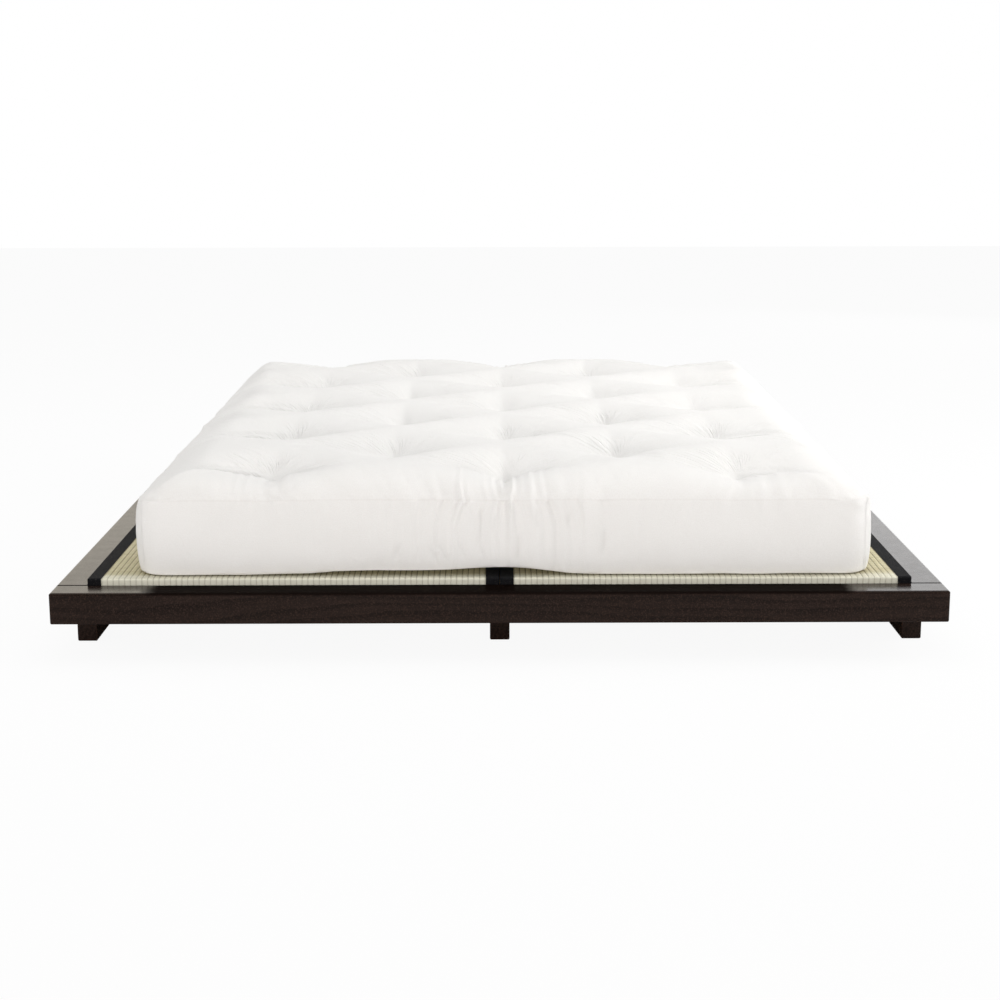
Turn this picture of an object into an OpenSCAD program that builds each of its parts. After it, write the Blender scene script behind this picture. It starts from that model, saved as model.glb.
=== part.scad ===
// Low platform bed: a stained wooden frame on three runners, a slatted base,
// two bordered rush floor mats let into the frame, and a tufted cotton mattress.
// Millimetres. The origin is on the floor at the middle of the bed, +Z is up,
// the foot end faces -Y and +X is to the right of someone who looks at the foot end.

/* [Rush mats] */
// Width of one mat
mat_w = 900; // [800:10:1000]
// Length of a mat
mat_l = 2000; // [1900:10:2200]
// Thickness of a mat over its border cloth
mat_t = 35; // [28:1:42]
// Height that the mats stand above the rails
mat_proud = 15; // [5:1:22]
// Gap between a mat and the rails round it
mat_clearance = 1.5; // [0.5:0.5:4]
// Gap between the two mats
mat_joint = 1; // [0.5:0.5:3]
// Width of the cloth border on the face of a mat
border_w = 30; // [20:1:45]
// Thickness of the border cloth and of the backing sheet
border_cloth_t = 1.2; // [0.8:0.1:2]
// Radius of the border's fold along the side of the mat
border_fold_r = 2.5; // [1:0.5:3]
// Thickness of the rush weave between its ribs
rush_t = 1.8; // [1:0.1:2.5]
// Height of a rib above the weave
rib_h = 1; // [0.4:0.1:1.1]
// Distance from one rib to the next
rib_pitch = 12.5; // [8:0.5:20]
// Radius inside the rush cover where it bends over the end of the core
rush_bend_r = 2; // [1:0.5:4]
// Length of the rush cover's return under the core
rush_return = 80; // [40:5:150]

/* [Frame rails] */
// Width of a rail, seen from above
rail_w = 68; // [60:1:90]
// Height of a rail
rail_h = 70; // [64:1:120]
// Rounding of the rails' outer edges
rail_round = 6; // [2:0.5:12]
// Easing of the rails' inner edges
rail_ease = 1.5; // [0.5:0.5:3]

/* [Runners] */
// Width of a runner
runner_w = 44; // [36:1:60]
// Height of a runner, which is the gap under the rails
runner_h = 80; // [60:5:140]
// Distance from the end of the frame to the end of a runner
runner_setback = 150; // [100:10:300]
// Distance from the side of the frame to an outer runner
runner_inset = 24; // [12:1:30]
// Rounding of a runner's lower edges
runner_round = 5; // [1:0.5:10]
// Distance from a runner's end to its first bolt
runner_bolt_margin = 120; // [60:10:300]
// Depth of the counterbore under each runner bolt
runner_counterbore = 40; // [20:1:50]
// Distance that the bolts of an outer runner lie outside its middle
runner_bolt_shift = 4; // [0:0.5:5]

/* [Slatted base] */
// Width of the ledges that carry the slats
ledge_w = 30; // [24:1:40]
// Free length between a side ledge and the corner bolt's pocket
ledge_clear = 15; // [5:1:40]
// Width of the beam under the middle of the slats
beam_w = 45; // [36:1:60]
// Width of a slat
slat_w = 70; // [50:1:90]
// Thickness of a slat
slat_t = 20; // [15:1:24]
// Number of slats
slat_count = 14; // [8:1:16]
// Gap between the end slats and the end rails
slat_end_gap = 4; // [1:1:10]
// Gap between a slat's end and the side rail
slat_side_gap = 3; // [1:1:8]
// Rounding of a slat's long edges
slat_round = 3; // [1:0.5:6]
// Width of the webbing that ties the slats together
tape_w = 38; // [20:1:60]
// Thickness of the webbing
tape_t = 1.2; // [0.8:0.1:2]

/* [Steel and dowels] */
// Diameter of the corner bolts and the runner bolts
bolt_d = 8; // [6:1:9]
// Outer diameter of the threaded inserts
insert_d = 12; // [11:1:16]
// Length of the inserts in the end rails
corner_insert_l = 25; // [18:1:40]
// Length of the inserts over the runners
runner_insert_l = 18; // [12:1:19]
// Wood between the end of a side rail and its bolt pocket
pocket_wall = 55; // [40:1:80]
// Length of the bolt pocket along the side rail
pocket_l = 40; // [30:1:60]
// Height of the bolt pocket
pocket_h = 36; // [28:1:40]
// Diameter of the washer in the bolt pocket
washer_d = 22; // [18:1:26]
// Thickness of that washer
washer_t = 2; // [1.5:0.5:4]
// Diameter of the corner dowels
dowel_d = 10; // [6:1:12]
// Length of a corner dowel
dowel_l = 60; // [40:2:80]
// Height of the dowels above and below the corner bolt
dowel_offset = 22; // [17:1:25]
// Diameter of the wood screws
screw_d = 4.5; // [3.5:0.5:6]
// Diameter of a wood screw's head
screw_head_d = 9; // [8:0.5:11]
// Length of the screws that hold the ledges
ledge_screw_l = 45; // [36:1:48]
// Length of the screws that hold the end slats
slat_screw_l = 36; // [32:1:45]
// Number of screws in a side ledge
side_ledge_screws = 6; // [4:2:10]
// Number of screws in an end ledge
end_ledge_screws = 4; // [2:1:6]
// Distance from a ledge's end to its first screw
ledge_screw_margin = 60; // [30:5:120]
// Steel thickness of the beam's hangers
hanger_t = 2.5; // [1.5:0.5:4]
// Length of the beam that a hanger holds
hanger_l = 30; // [20:1:45]
// Width of each ear of a hanger
hanger_ear_w = 25; // [16:1:40]
// Length of the screws in a hanger's ears
hanger_screw_l = 32; // [20:1:45]

/* [Mattress] */
// Width of the mattress
futon_w = 1610; // [1400:10:1780]
// Length of the mattress
futon_l = 1965; // [1800:5:1990]
// Thickness of the mattress between its tufts
futon_t = 230; // [150:5:260]
// How far the mattress lies to the right of the middle
futon_shift = 10; // [-40:1:40]
// Height of the side band, from seam to seam
boxing_h = 155; // [80:5:170]
// Height of the lower seam above the mats
lower_seam = 15; // [10:1:50]
// Rounding of the mattress's upper edges
crown_r = 58; // [40:1:60]
// Rounding of the mattress's lower edges
lower_r = 13; // [8:1:40]
// Rounding of the mattress's corners, seen from above
corner_r = 60; // [55:5:100]
// Thickness of the cotton case
case_t = 1.5; // [1:0.5:3]
// Thickness of the lower layer of batting
lower_batting_t = 70; // [40:5:90]
// Thickness of the firm middle layer
firm_layer_t = 60; // [30:5:80]
// Number of rows of tufts
tuft_rows = 9; // [5:2:13]
// Distance between tufts in a row
tuft_pitch = 520; // [400:10:640]
// Distance from an end of the mattress to the first row of tufts
tuft_margin = 115; // [90:5:220]
// Depth of the hollow round a tuft
tuft_depth = 44; // [20:1:60]
// Radius of the hollow round a tuft
tuft_reach = 175; // [120:5:180]
// Diameter of a tuft's twine
twine_d = 2.4; // [1.5:0.1:4]
// Diameter of a tuft's knot
knot_d = 9; // [6:0.5:11]

/* [Hidden] */
$fn = 64;
overcut = 1;
// Running clearance round a shank, a dowel or an insert in its hole
fit_gap = 0.1;
// Gap that keeps a soft piece clear of its neighbour
soft_gap = 0.3;

// Frame
opening_w = 2 * mat_w + mat_joint + 2 * mat_clearance;
opening_l = mat_l + 2 * mat_clearance;
frame_w = opening_w + 2 * rail_w;
frame_l = opening_l + 2 * rail_w;
rail_z = runner_h;
rail_top = rail_z + rail_h;
mat_z = rail_top + mat_proud - mat_t;
slat_z = mat_z - slat_t;
ledge_h = slat_z - rail_z;
half_opening_w = opening_w / 2;
half_opening_l = opening_l / 2;

// Runners
runner_l = frame_l - 2 * runner_setback;
outer_runner_x = frame_w / 2 - runner_inset - runner_w / 2;
runner_bolt_xs = [-outer_runner_x - runner_bolt_shift, 0, outer_runner_x + runner_bolt_shift];
runner_bolt_y = runner_l / 2 - runner_bolt_margin;
runner_bolt_ys = [-runner_bolt_y, 0, runner_bolt_y];
runner_grip = runner_h - runner_counterbore;
counterbore_d = bolt_d * 2.5;
runner_flange_d = counterbore_d - 2;

// Corner joints
bolt_x = half_opening_w + rail_w / 2;
bolt_z = rail_z + rail_h / 2;
pocket_floor_gap = 3;
pocket_d = rail_w / 2 + washer_d / 2 + pocket_floor_gap;
washer_clearance = 0.5;
pocket_corner_r = min(6, (pocket_h - washer_d) / 2 - washer_clearance);
bolt_clearance_d = bolt_d + 1;
bolt_head_d = bolt_d * 1.6;
hex_d = bolt_d * 0.75;
// Length of an insert's thread that is left free beyond the bolt
thread_spare = 2;

// Beam, ledges and slats
beam_l = opening_l - 2 * soft_gap;
hanger_half_w = beam_w / 2 + soft_gap + hanger_t;
// The hanger stops below the slats
hanger_top_gap = 2;
hanger_h = ledge_h - hanger_top_gap;
end_ledge_gap = 2;
end_ledge_x = hanger_half_w + hanger_ear_w + end_ledge_gap;
end_ledge_l = half_opening_w - end_ledge_x;
side_ledge_l = opening_l - 2 * (pocket_wall + pocket_l + ledge_clear);
slat_l = opening_w - 2 * slat_side_gap;
first_slat_y = -half_opening_l + slat_end_gap + slat_w / 2;
slat_step = -2 * first_slat_y / (slat_count - 1);
ledge_screw_z = rail_z + ledge_h / 2;
slat_screw_y = half_opening_l - (slat_end_gap + ledge_w) / 2;
end_ledge_screw_step = (end_ledge_l - 2 * ledge_screw_margin) / (end_ledge_screws - 1);
end_ledge_screw_xs = [for (i = [0 : end_ledge_screws - 1])
    end_ledge_x + ledge_screw_margin + i * end_ledge_screw_step];
slat_screw_xs = [for (i = [0 : end_ledge_screws - 2])
    end_ledge_screw_xs[i] + end_ledge_screw_step / 2];
side_ledge_screw_step = (side_ledge_l - 2 * ledge_screw_margin) / (side_ledge_screws - 1);
side_ledge_screw_ys = [for (i = [0 : side_ledge_screws - 1])
    ledge_screw_margin - side_ledge_l / 2 + i * side_ledge_screw_step];
screw_recess = 0.3;
screw_tip_l = 4;
tape_x = opening_w / 4;
tape_l = -2 * first_slat_y - slat_w / 2;

// Mats
mat_x = (mat_w + mat_joint) / 2;
rush_w = mat_w - 2 * border_cloth_t;
rib_count = floor((mat_w - 2 * border_w) / rib_pitch);
rib_span = rib_count * rib_pitch;
rib_steps = 4;
core_end = mat_l / 2 - border_cloth_t - rush_t;
core_top = mat_t - border_cloth_t - rush_t;
core_low = border_cloth_t + rush_t;
bend_y = core_end - rush_bend_r;
return_y = bend_y - rush_return;

// Mattress
futon_z = mat_z + mat_t + soft_gap;
upper_seam = lower_seam + boxing_h;
tuft_step = (futon_l - 2 * tuft_margin) / (tuft_rows - 1);
tuft_points = [for (row = [0 : tuft_rows - 1])
    for (place = row % 2 == 0 ? [-1, 0, 1] : [-0.5, 0.5])
        [place * tuft_pitch, row * tuft_step - futon_l / 2 + tuft_margin]];
tuft_foot_r = 6;
tuft_lip = 1.5;
tuft_under_r = 22;
tuft_under_h = 8;
under_knot_d = 5;

// Colours
stain = [0.13, 0.10, 0.09];
pine = [0.80, 0.66, 0.46];
beech = [0.78, 0.60, 0.42];
steel = [0.62, 0.63, 0.65];
rush = [0.78, 0.77, 0.62];
border_cloth = [0.11, 0.11, 0.12];
straw = [0.74, 0.65, 0.42];
backing_grey = [0.60, 0.60, 0.58];
cotton = [0.94, 0.93, 0.90];
webbing = [0.86, 0.84, 0.78];
fibre = [0.70, 0.56, 0.38];

RAIL_NODES = ["front_rail", "rear_rail", "left_rail", "right_rail"];
LEDGE_NODES = ["left_ledge", "right_ledge", "front_left_ledge", "front_right_ledge",
    "rear_left_ledge", "rear_right_ledge"];
RUNNER_NODES = ["left_runner", "centre_runner", "right_runner"];
SLAT_NODES = [for (i = [1 : slat_count]) str("slat_", i)];
HARDWARE_NODES = ["corner_bolts", "corner_washers", "corner_inserts", "corner_dowels",
    "runner_bolts", "runner_inserts", "ledge_screws", "slat_screws", "beam_hangers",
    "hanger_screws"];
MAT_NODES = [for (side = ["left", "right"])
    for (piece = ["core", "rush_cover", "outer_border", "inner_border", "backing"])
        str(side, "_mat_", piece)];
FUTON_NODES = ["futon_top_panel", "futon_boxing", "futon_bottom_panel",
    "futon_upper_batting", "futon_firm_layer", "futon_lower_batting", "futon_tufts"];

// ---- Shapes that several pieces share ----

// What has to be cut from a square corner at the origin to round it
module corner_waste(r) {
    difference() {
        translate([-overcut, -overcut]) square(r + overcut);
        translate([r, r]) circle(r);
    }
}

// Rectangle from the origin. radii are those of its corners, anticlockwise from
// the lower left, and 0 leaves a corner sharp.
module round_rect(size, radii) {
    difference() {
        square(size);
        if (radii[0] > 0) corner_waste(radii[0]);
        if (radii[1] > 0) translate([size[0], 0]) mirror([1, 0]) corner_waste(radii[1]);
        if (radii[2] > 0) translate(size) rotate(180) corner_waste(radii[2]);
        if (radii[3] > 0) translate([0, size[1]]) mirror([0, 1]) corner_waste(radii[3]);
    }
}

// Extrusions of a 2-D outline along +X, where its axes lie along Y and Z,
// and along +Y, where they lie along X and Z
module extrude_x(l) {
    rotate([90, 0, 90]) linear_extrude(l) children();
}
module extrude_y(l) {
    translate([0, l, 0]) rotate([90, 0, 0]) linear_extrude(l) children();
}

// Block whose outline is rounded in each of the three directions
module eased_block(size, yz, xz, xy) {
    intersection() {
        extrude_x(size[0]) round_rect([size[1], size[2]], yz);
        extrude_y(size[1]) round_rect([size[0], size[2]], xz);
        linear_extrude(size[2]) round_rect([size[0], size[1]], xy);
    }
}

// Copy at the four corners of the frame
module at_corners() {
    for (sx = [0, 1], sy = [0, 1]) mirror([sx, 0, 0]) mirror([0, sy, 0]) children();
}

// Copy on the other side of the plane whose normal is given
module both_sides(normal) {
    children();
    mirror(normal) children();
}

// Countersunk wood screw along -Z whose head lies at the origin, or its hole
module wood_screw(l, gap = 0) {
    head_r = screw_head_d / 2 + gap;
    shank_r = screw_d / 2 + gap;
    cone_h = head_r - shank_r;
    rotate_extrude() polygon([
        [0, gap], [head_r, gap], [head_r, 0], [shank_r, -cone_h],
        [shank_r, screw_tip_l - l - gap], [0, -l - gap]
    ]);
}

// Socket-head bolt along -Z, with its head above the origin
module socket_bolt(l, flange_d) {
    flange_h = 2;
    difference() {
        union() {
            cylinder(h = bolt_d, d = bolt_head_d);
            cylinder(h = flange_h, d = flange_d);
            translate([0, 0, -l]) cylinder(h = l, d = bolt_d);
        }
        translate([0, 0, bolt_d / 2]) cylinder(h = bolt_d, d = hex_d, $fn = 6);
    }
}

// Sleeve insert from the origin along +Z, bored for the bolt
module sleeve_insert(l) {
    difference() {
        cylinder(h = l, d = insert_d);
        translate([0, 0, -overcut]) cylinder(h = l + 2 * overcut, d = bolt_d + 2 * fit_gap);
    }
}

// ---- Corner joint, for the corner at +X and -Y ----

// From the end of the side rail towards the front
module to_front() {
    translate([bolt_x, -half_opening_l, bolt_z]) rotate([90, 0, 0]) children();
}
module corner_dowel(gap = 0) {
    for (dz = [-dowel_offset, dowel_offset])
        to_front() translate([0, dz, -dowel_l / 2 - gap])
            cylinder(h = dowel_l + 2 * gap, d = dowel_d + 2 * gap);
}
module corner_insert_hole() {
    to_front() cylinder(h = corner_insert_l + fit_gap, d = insert_d + 2 * fit_gap);
}
module corner_bolt() {
    to_front() translate([0, 0, -pocket_wall - washer_t]) mirror([0, 0, 1])
        socket_bolt(pocket_wall + washer_t + corner_insert_l - thread_spare, bolt_head_d);
}
module corner_washer() {
    to_front() translate([0, 0, -pocket_wall - washer_t]) difference() {
        cylinder(h = washer_t, d = washer_d);
        translate([0, 0, -overcut])
            cylinder(h = washer_t + 2 * overcut, d = bolt_d + 2 * fit_gap);
    }
}

// Hole for the bolt and the routed pocket in the side rail's inner face
module corner_pocket() {
    to_front() translate([0, 0, -pocket_wall - overcut])
        cylinder(h = pocket_wall + 2 * overcut, d = bolt_clearance_d);
    translate([half_opening_w - overcut, pocket_wall - half_opening_l, bolt_z - pocket_h / 2])
        extrude_x(pocket_d + overcut)
            round_rect([pocket_l, pocket_h], [for (i = [0 : 3]) pocket_corner_r]);
}

// ---- Screw places ----

// Each draws its child at the heads of the screws, which point along the child's -Z.
// The end ledge and the slat screws are those of the front right ledge.
module at_side_ledge_screws() {
    for (y = side_ledge_screw_ys)
        translate([half_opening_w - ledge_w + screw_recess, y, ledge_screw_z])
            rotate([0, -90, 0]) children();
}
module at_end_ledge_screws() {
    for (x = end_ledge_screw_xs)
        translate([x, ledge_w - half_opening_l - screw_recess, ledge_screw_z])
            rotate([-90, 0, 0]) children();
}
module at_hanger_screws() {
    for (side = [-1, 1])
        translate([side * (hanger_half_w + hanger_ear_w / 2), hanger_t - half_opening_l,
            rail_z + hanger_h / 2])
            rotate([-90, 0, 0]) children();
}
module at_slat_screws() {
    for (x = slat_screw_xs) translate([x, -slat_screw_y, mat_z - screw_recess]) children();
}

// ---- Rails ----

module end_rail() {
    r = rail_round;
    color(stain) difference() {
        translate([-frame_w / 2, -frame_l / 2, rail_z])
            eased_block([frame_w, rail_w, rail_h], [r, rail_ease, rail_ease, r],
                [r, r, r, r], [r, r, 0, 0]);
        both_sides([1, 0, 0]) {
            corner_dowel(fit_gap);
            corner_insert_hole();
        }
        both_sides([1, 0, 0]) at_end_ledge_screws() wood_screw(ledge_screw_l, fit_gap);
        at_hanger_screws() wood_screw(hanger_screw_l, fit_gap);
    }
}
module side_rail() {
    r = rail_round;
    color(stain) difference() {
        translate([half_opening_w, -half_opening_l, rail_z])
            eased_block([rail_w, opening_l, rail_h], [0, 0, 0, 0],
                [rail_ease, r, r, rail_ease], [0, 0, 0, 0]);
        both_sides([0, 1, 0]) {
            corner_dowel(fit_gap);
            corner_pocket();
        }
        at_side_ledge_screws() wood_screw(ledge_screw_l, fit_gap);
        for (y = runner_bolt_ys) runner_insert_hole(runner_bolt_xs[2], y);
    }
}

// ---- Runners ----

module runner_insert_hole(x, y) {
    translate([x, y, rail_z - overcut])
        cylinder(h = runner_insert_l + fit_gap + overcut, d = insert_d + 2 * fit_gap);
}
module runner(x, bolt_x) {
    r = runner_round;
    color(stain) difference() {
        translate([x - runner_w / 2, -runner_l / 2, 0])
            eased_block([runner_w, runner_l, runner_h], [r, r, 0, 0], [r, r, 0, 0],
                [for (i = [0 : 3]) rail_ease]);
        for (y = runner_bolt_ys) translate([bolt_x, y, -overcut]) {
            cylinder(h = runner_h + 2 * overcut, d = bolt_clearance_d);
            cylinder(h = runner_counterbore + overcut, d = counterbore_d);
        }
    }
}

// ---- Slatted base ----

module centre_beam() {
    color(pine) difference() {
        translate([-beam_w / 2, -beam_l / 2, rail_z]) cube([beam_w, beam_l, ledge_h]);
        for (y = runner_bolt_ys) runner_insert_hole(0, y);
    }
}
module side_ledge() {
    color(pine) difference() {
        translate([half_opening_w - ledge_w, -side_ledge_l / 2, rail_z])
            cube([ledge_w, side_ledge_l, ledge_h]);
        at_side_ledge_screws() wood_screw(ledge_screw_l, fit_gap);
    }
}
module end_ledge() {
    color(pine) difference() {
        translate([end_ledge_x, -half_opening_l, rail_z])
            cube([end_ledge_l - soft_gap, ledge_w, ledge_h]);
        at_end_ledge_screws() wood_screw(ledge_screw_l, fit_gap);
        at_slat_screws() wood_screw(slat_screw_l, fit_gap);
    }
}
module slat(i) {
    color(pine) difference() {
        translate([-slat_l / 2, first_slat_y + i * slat_step - slat_w / 2, slat_z])
            extrude_x(slat_l) round_rect([slat_w, slat_t], [for (k = [0 : 3]) slat_round]);
        if (i == 0) slat_screw_holes();
        if (i == slat_count - 1) mirror([0, 1, 0]) slat_screw_holes();
    }
}
module slat_screw_holes() {
    both_sides([1, 0, 0]) at_slat_screws() wood_screw(slat_screw_l, fit_gap);
}
module slat_tapes() {
    color(webbing) both_sides([1, 0, 0])
        translate([tape_x - tape_w / 2, -tape_l / 2, slat_z - tape_t])
            cube([tape_w, tape_l, tape_t]);
}

// ---- Hardware ----

module corner_bolts() {
    color(steel) at_corners() corner_bolt();
}
module corner_washers() {
    color(steel) at_corners() corner_washer();
}
module corner_inserts() {
    color(steel) at_corners() to_front() sleeve_insert(corner_insert_l);
}
module corner_dowels() {
    color(beech) at_corners() corner_dowel();
}
module runner_bolts() {
    color(steel) for (x = runner_bolt_xs, y = runner_bolt_ys)
        translate([x, y, runner_counterbore]) mirror([0, 0, 1])
            socket_bolt(runner_grip + runner_insert_l - thread_spare, runner_flange_d);
}
module runner_inserts() {
    color(steel) for (x = runner_bolt_xs, y = runner_bolt_ys)
        translate([x, y, rail_z]) sleeve_insert(runner_insert_l);
}
module ledge_screws() {
    color(steel) {
        both_sides([1, 0, 0]) at_side_ledge_screws() wood_screw(ledge_screw_l);
        at_corners() at_end_ledge_screws() wood_screw(ledge_screw_l);
    }
}
module slat_screws() {
    color(steel) at_corners() at_slat_screws() wood_screw(slat_screw_l);
}
module hanger_screws() {
    color(steel) both_sides([0, 1, 0]) at_hanger_screws() wood_screw(hanger_screw_l);
}

// Hanger that holds an end of the beam: a floor, two cheeks and two ears
module beam_hanger() {
    difference() {
        translate([0, -half_opening_l, 0]) {
            translate([-hanger_half_w, 0, rail_z - hanger_t])
                cube([2 * hanger_half_w, hanger_l, hanger_t]);
            both_sides([1, 0, 0]) {
                translate([hanger_half_w - hanger_t, 0, rail_z - hanger_t])
                    cube([hanger_t, hanger_l, hanger_h + hanger_t]);
                translate([hanger_half_w - hanger_t, 0, rail_z])
                    cube([hanger_ear_w + hanger_t, hanger_t, hanger_h]);
            }
        }
        at_hanger_screws() wood_screw(hanger_screw_l, fit_gap);
    }
}
module beam_hangers() {
    color(steel) both_sides([0, 1, 0]) beam_hanger();
}

// ---- Mats: each is drawn round the origin, with its underside at zero ----

// Section across the ribs: [place across the mat, height above the core]
rib_section = concat(
    [[-rush_w / 2, 0], [-rush_w / 2, rush_t]],
    [for (i = [0 : rib_count * rib_steps]) [i * rib_pitch / rib_steps - rib_span / 2,
        rush_t + rib_h * sin(180 * (i % rib_steps) / rib_steps)]],
    [[rush_w / 2, rush_t], [rush_w / 2, 0]]);
flat_section = [[-rush_w / 2, 0], [-rush_w / 2, rush_t], [rush_w / 2, rush_t], [rush_w / 2, 0]];

// Quarter bend of a section about an axis along X, from +Y round to +Z
module rush_bend(section) {
    rotate([90, 0, 0]) rotate([0, 90, 0]) rotate_extrude(angle = 90)
        polygon([for (p = section) [p[1] + rush_bend_r, p[0]]]);
}

// Rush cover at one end of the mat: bend, end face, lower bend and return
module rush_end() {
    translate([0, bend_y, core_top - rush_bend_r]) rush_bend(rib_section);
    translate([0, core_end, core_low + rush_bend_r])
        linear_extrude(core_top - core_low - 2 * rush_bend_r) polygon(rib_section);
    translate([0, bend_y, core_low + rush_bend_r]) mirror([0, 0, 1]) rush_bend(flat_section);
    translate([-rush_w / 2, return_y, border_cloth_t]) cube([rush_w, rush_return, rush_t]);
}
module mat_rush_cover() {
    color(rush) union() {
        translate([0, -bend_y, core_top]) extrude_y(2 * bend_y) polygon(rib_section);
        both_sides([0, 1, 0]) rush_end();
    }
}
module mat_core() {
    r = rush_bend_r;
    color(straw) union() {
        translate([-rush_w / 2, -core_end, core_low])
            extrude_x(rush_w) round_rect([2 * core_end, core_top - core_low], [r, r, r, r]);
        translate([-rush_w / 2, -return_y, border_cloth_t])
            cube([rush_w, 2 * return_y, rush_t]);
    }
}

// Border cloth folded round the +X side and both ends of the mat
module mat_border() {
    inner_r = rush_bend_r + rush_t;
    outer_r = inner_r + border_cloth_t;
    fold = border_fold_r;
    color(border_cloth) translate([mat_w / 2 - border_w, -mat_l / 2, 0]) difference() {
        eased_block([border_w, mat_l, mat_t], [for (i = [0 : 3]) outer_r],
            [0, fold, fold, 0], [0, fold, fold, 0]);
        translate([-border_cloth_t, border_cloth_t, border_cloth_t])
            extrude_x(border_w) round_rect([mat_l - 2 * border_cloth_t,
                mat_t - 2 * border_cloth_t], [for (i = [0 : 3]) inner_r]);
    }
}
module mat_backing() {
    w = mat_w - 2 * border_w;
    color(backing_grey) translate([-w / 2, -bend_y, 0]) cube([w, 2 * bend_y, border_cloth_t]);
}

// Draws a mat piece in its place. side is -1 for the left mat and 1 for the right.
module place_mat(side) {
    translate([side * mat_x, 0, mat_z]) children();
}

// ---- Mattress ----

// Hollow that a tuft pulls into the top, turned about the twine
module tuft_hollow(depth) {
    fall = depth + tuft_lip;
    run = tuft_reach - tuft_foot_r;
    r = (run * run + fall * fall) / (2 * fall);
    rotate_extrude() difference() {
        translate([0, -depth]) square([tuft_reach, depth + overcut]);
        translate([tuft_reach, tuft_lip - r]) circle(r, $fn = 256);
    }
}

// Half of the mattress's upright section at a corner, from the corner's own axis
module corner_section(inset, width) {
    round_rect([width, futon_t - 2 * inset], [0, lower_r - inset, crown_r - inset, 0]);
}

// Closed form of the mattress with its surface moved in by inset: two crossing
// blocks and a turned quarter in each corner
module futon_form(inset) {
    w = futon_w - 2 * inset;
    l = futon_l - 2 * inset;
    h = futon_t - 2 * inset;
    corner = corner_r - inset;
    radii = [lower_r - inset, lower_r - inset, crown_r - inset, crown_r - inset];
    translate([futon_shift, 0, futon_z + inset]) {
        translate([corner - w / 2, -l / 2, 0]) extrude_x(w - 2 * corner) round_rect([l, h], radii);
        translate([-w / 2, corner - l / 2, 0]) extrude_y(l - 2 * corner) round_rect([w, h], radii);
        for (turn = [0, 180]) rotate(turn) {
            translate([w / 2 - corner, l / 2 - corner, 0])
                rotate_extrude(angle = 90) corner_section(inset, corner);
            translate([corner - w / 2, l / 2 - corner, 0])
                rotate(90) rotate_extrude(angle = 90) corner_section(inset, corner);
        }
    }
}

// Hollows that the tufts pull into the top
module tuft_hollows(inset) {
    for (p = tuft_points)
        translate([p[0] + futon_shift, p[1], futon_z + futon_t - inset]) tuft_hollow(tuft_depth);
}

// Holes that the twine runs through
module twine_holes() {
    for (p = tuft_points) translate([p[0] + futon_shift, p[1], futon_z - overcut])
        cylinder(h = futon_t + 2 * overcut, d = twine_d + 2 * soft_gap);
}

// Hollows under the mattress that the lower knots lie in
module under_hollows(inset) {
    for (p = tuft_points) translate([p[0] + futon_shift, p[1], futon_z - overcut])
        cylinder(h = tuft_under_h + overcut + inset, r1 = tuft_under_r + inset,
            r2 = under_knot_d / 2 + soft_gap + inset);
}

// Part of the mattress between two heights above the mats
module futon_layer(low, high) {
    intersection() {
        children();
        translate([futon_shift - futon_w, -futon_l, futon_z + low])
            cube([2 * futon_w, 2 * futon_l, high - low]);
    }
}
module futon_top_panel() {
    color(cotton) difference() {
        futon_layer(upper_seam, futon_t + overcut) futon_form(0);
        difference() {
            futon_form(case_t);
            tuft_hollows(case_t);
        }
        tuft_hollows(0);
        twine_holes();
    }
}
module futon_boxing() {
    color(cotton) difference() {
        futon_layer(lower_seam, upper_seam) futon_form(0);
        futon_form(case_t);
    }
}
module futon_bottom_panel() {
    color(cotton) difference() {
        futon_layer(-overcut, lower_seam) futon_form(0);
        difference() {
            futon_form(case_t);
            under_hollows(case_t);
        }
        under_hollows(0);
        twine_holes();
    }
}
module futon_upper_batting() {
    color(cotton) difference() {
        futon_layer(lower_batting_t + firm_layer_t, futon_t) futon_form(case_t + soft_gap);
        tuft_hollows(case_t + soft_gap);
        twine_holes();
    }
}
module futon_firm_layer() {
    color(fibre) difference() {
        futon_layer(lower_batting_t, lower_batting_t + firm_layer_t)
            futon_form(case_t + soft_gap);
        twine_holes();
    }
}
module futon_lower_batting() {
    color(cotton) difference() {
        futon_layer(0, lower_batting_t) futon_form(case_t + soft_gap);
        under_hollows(case_t + soft_gap);
        twine_holes();
    }
}
module futon_tufts() {
    top = futon_t - tuft_depth + soft_gap + knot_d / 2;
    low = tuft_under_h - soft_gap - under_knot_d / 2;
    color(cotton) for (p = tuft_points) translate([p[0] + futon_shift, p[1], futon_z]) {
        translate([0, 0, low]) cylinder(h = top - low, d = twine_d);
        translate([0, 0, top]) sphere(d = knot_d);
        translate([0, 0, low]) sphere(d = under_knot_d);
    }
}

// ---- Assembly ----

end_rail();  // front_rail
mirror([0, 1, 0]) end_rail();  // rear_rail
mirror([1, 0, 0]) side_rail();  // left_rail
side_rail();  // right_rail
runner(-outer_runner_x, runner_bolt_xs[0]);  // left_runner
runner(0, 0);  // centre_runner
runner(outer_runner_x, runner_bolt_xs[2]);  // right_runner
centre_beam();
slat_tapes();
mirror([1, 0, 0]) side_ledge();  // left_ledge
side_ledge();  // right_ledge
mirror([1, 0, 0]) end_ledge();  // front_left_ledge
end_ledge();  // front_right_ledge
rotate(180) end_ledge();  // rear_left_ledge
mirror([0, 1, 0]) end_ledge();  // rear_right_ledge
for (i = [0 : slat_count - 1])
    slat(i);
corner_bolts();
corner_washers();
corner_inserts();
corner_dowels();
runner_bolts();
runner_inserts();
ledge_screws();
slat_screws();
beam_hangers();
hanger_screws();
place_mat(-1) mat_core();  // left_mat_core
place_mat(-1) mat_rush_cover();  // left_mat_rush_cover
place_mat(-1) mirror([1, 0, 0]) mat_border();  // left_mat_outer_border
place_mat(-1) mat_border();  // left_mat_inner_border
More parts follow.
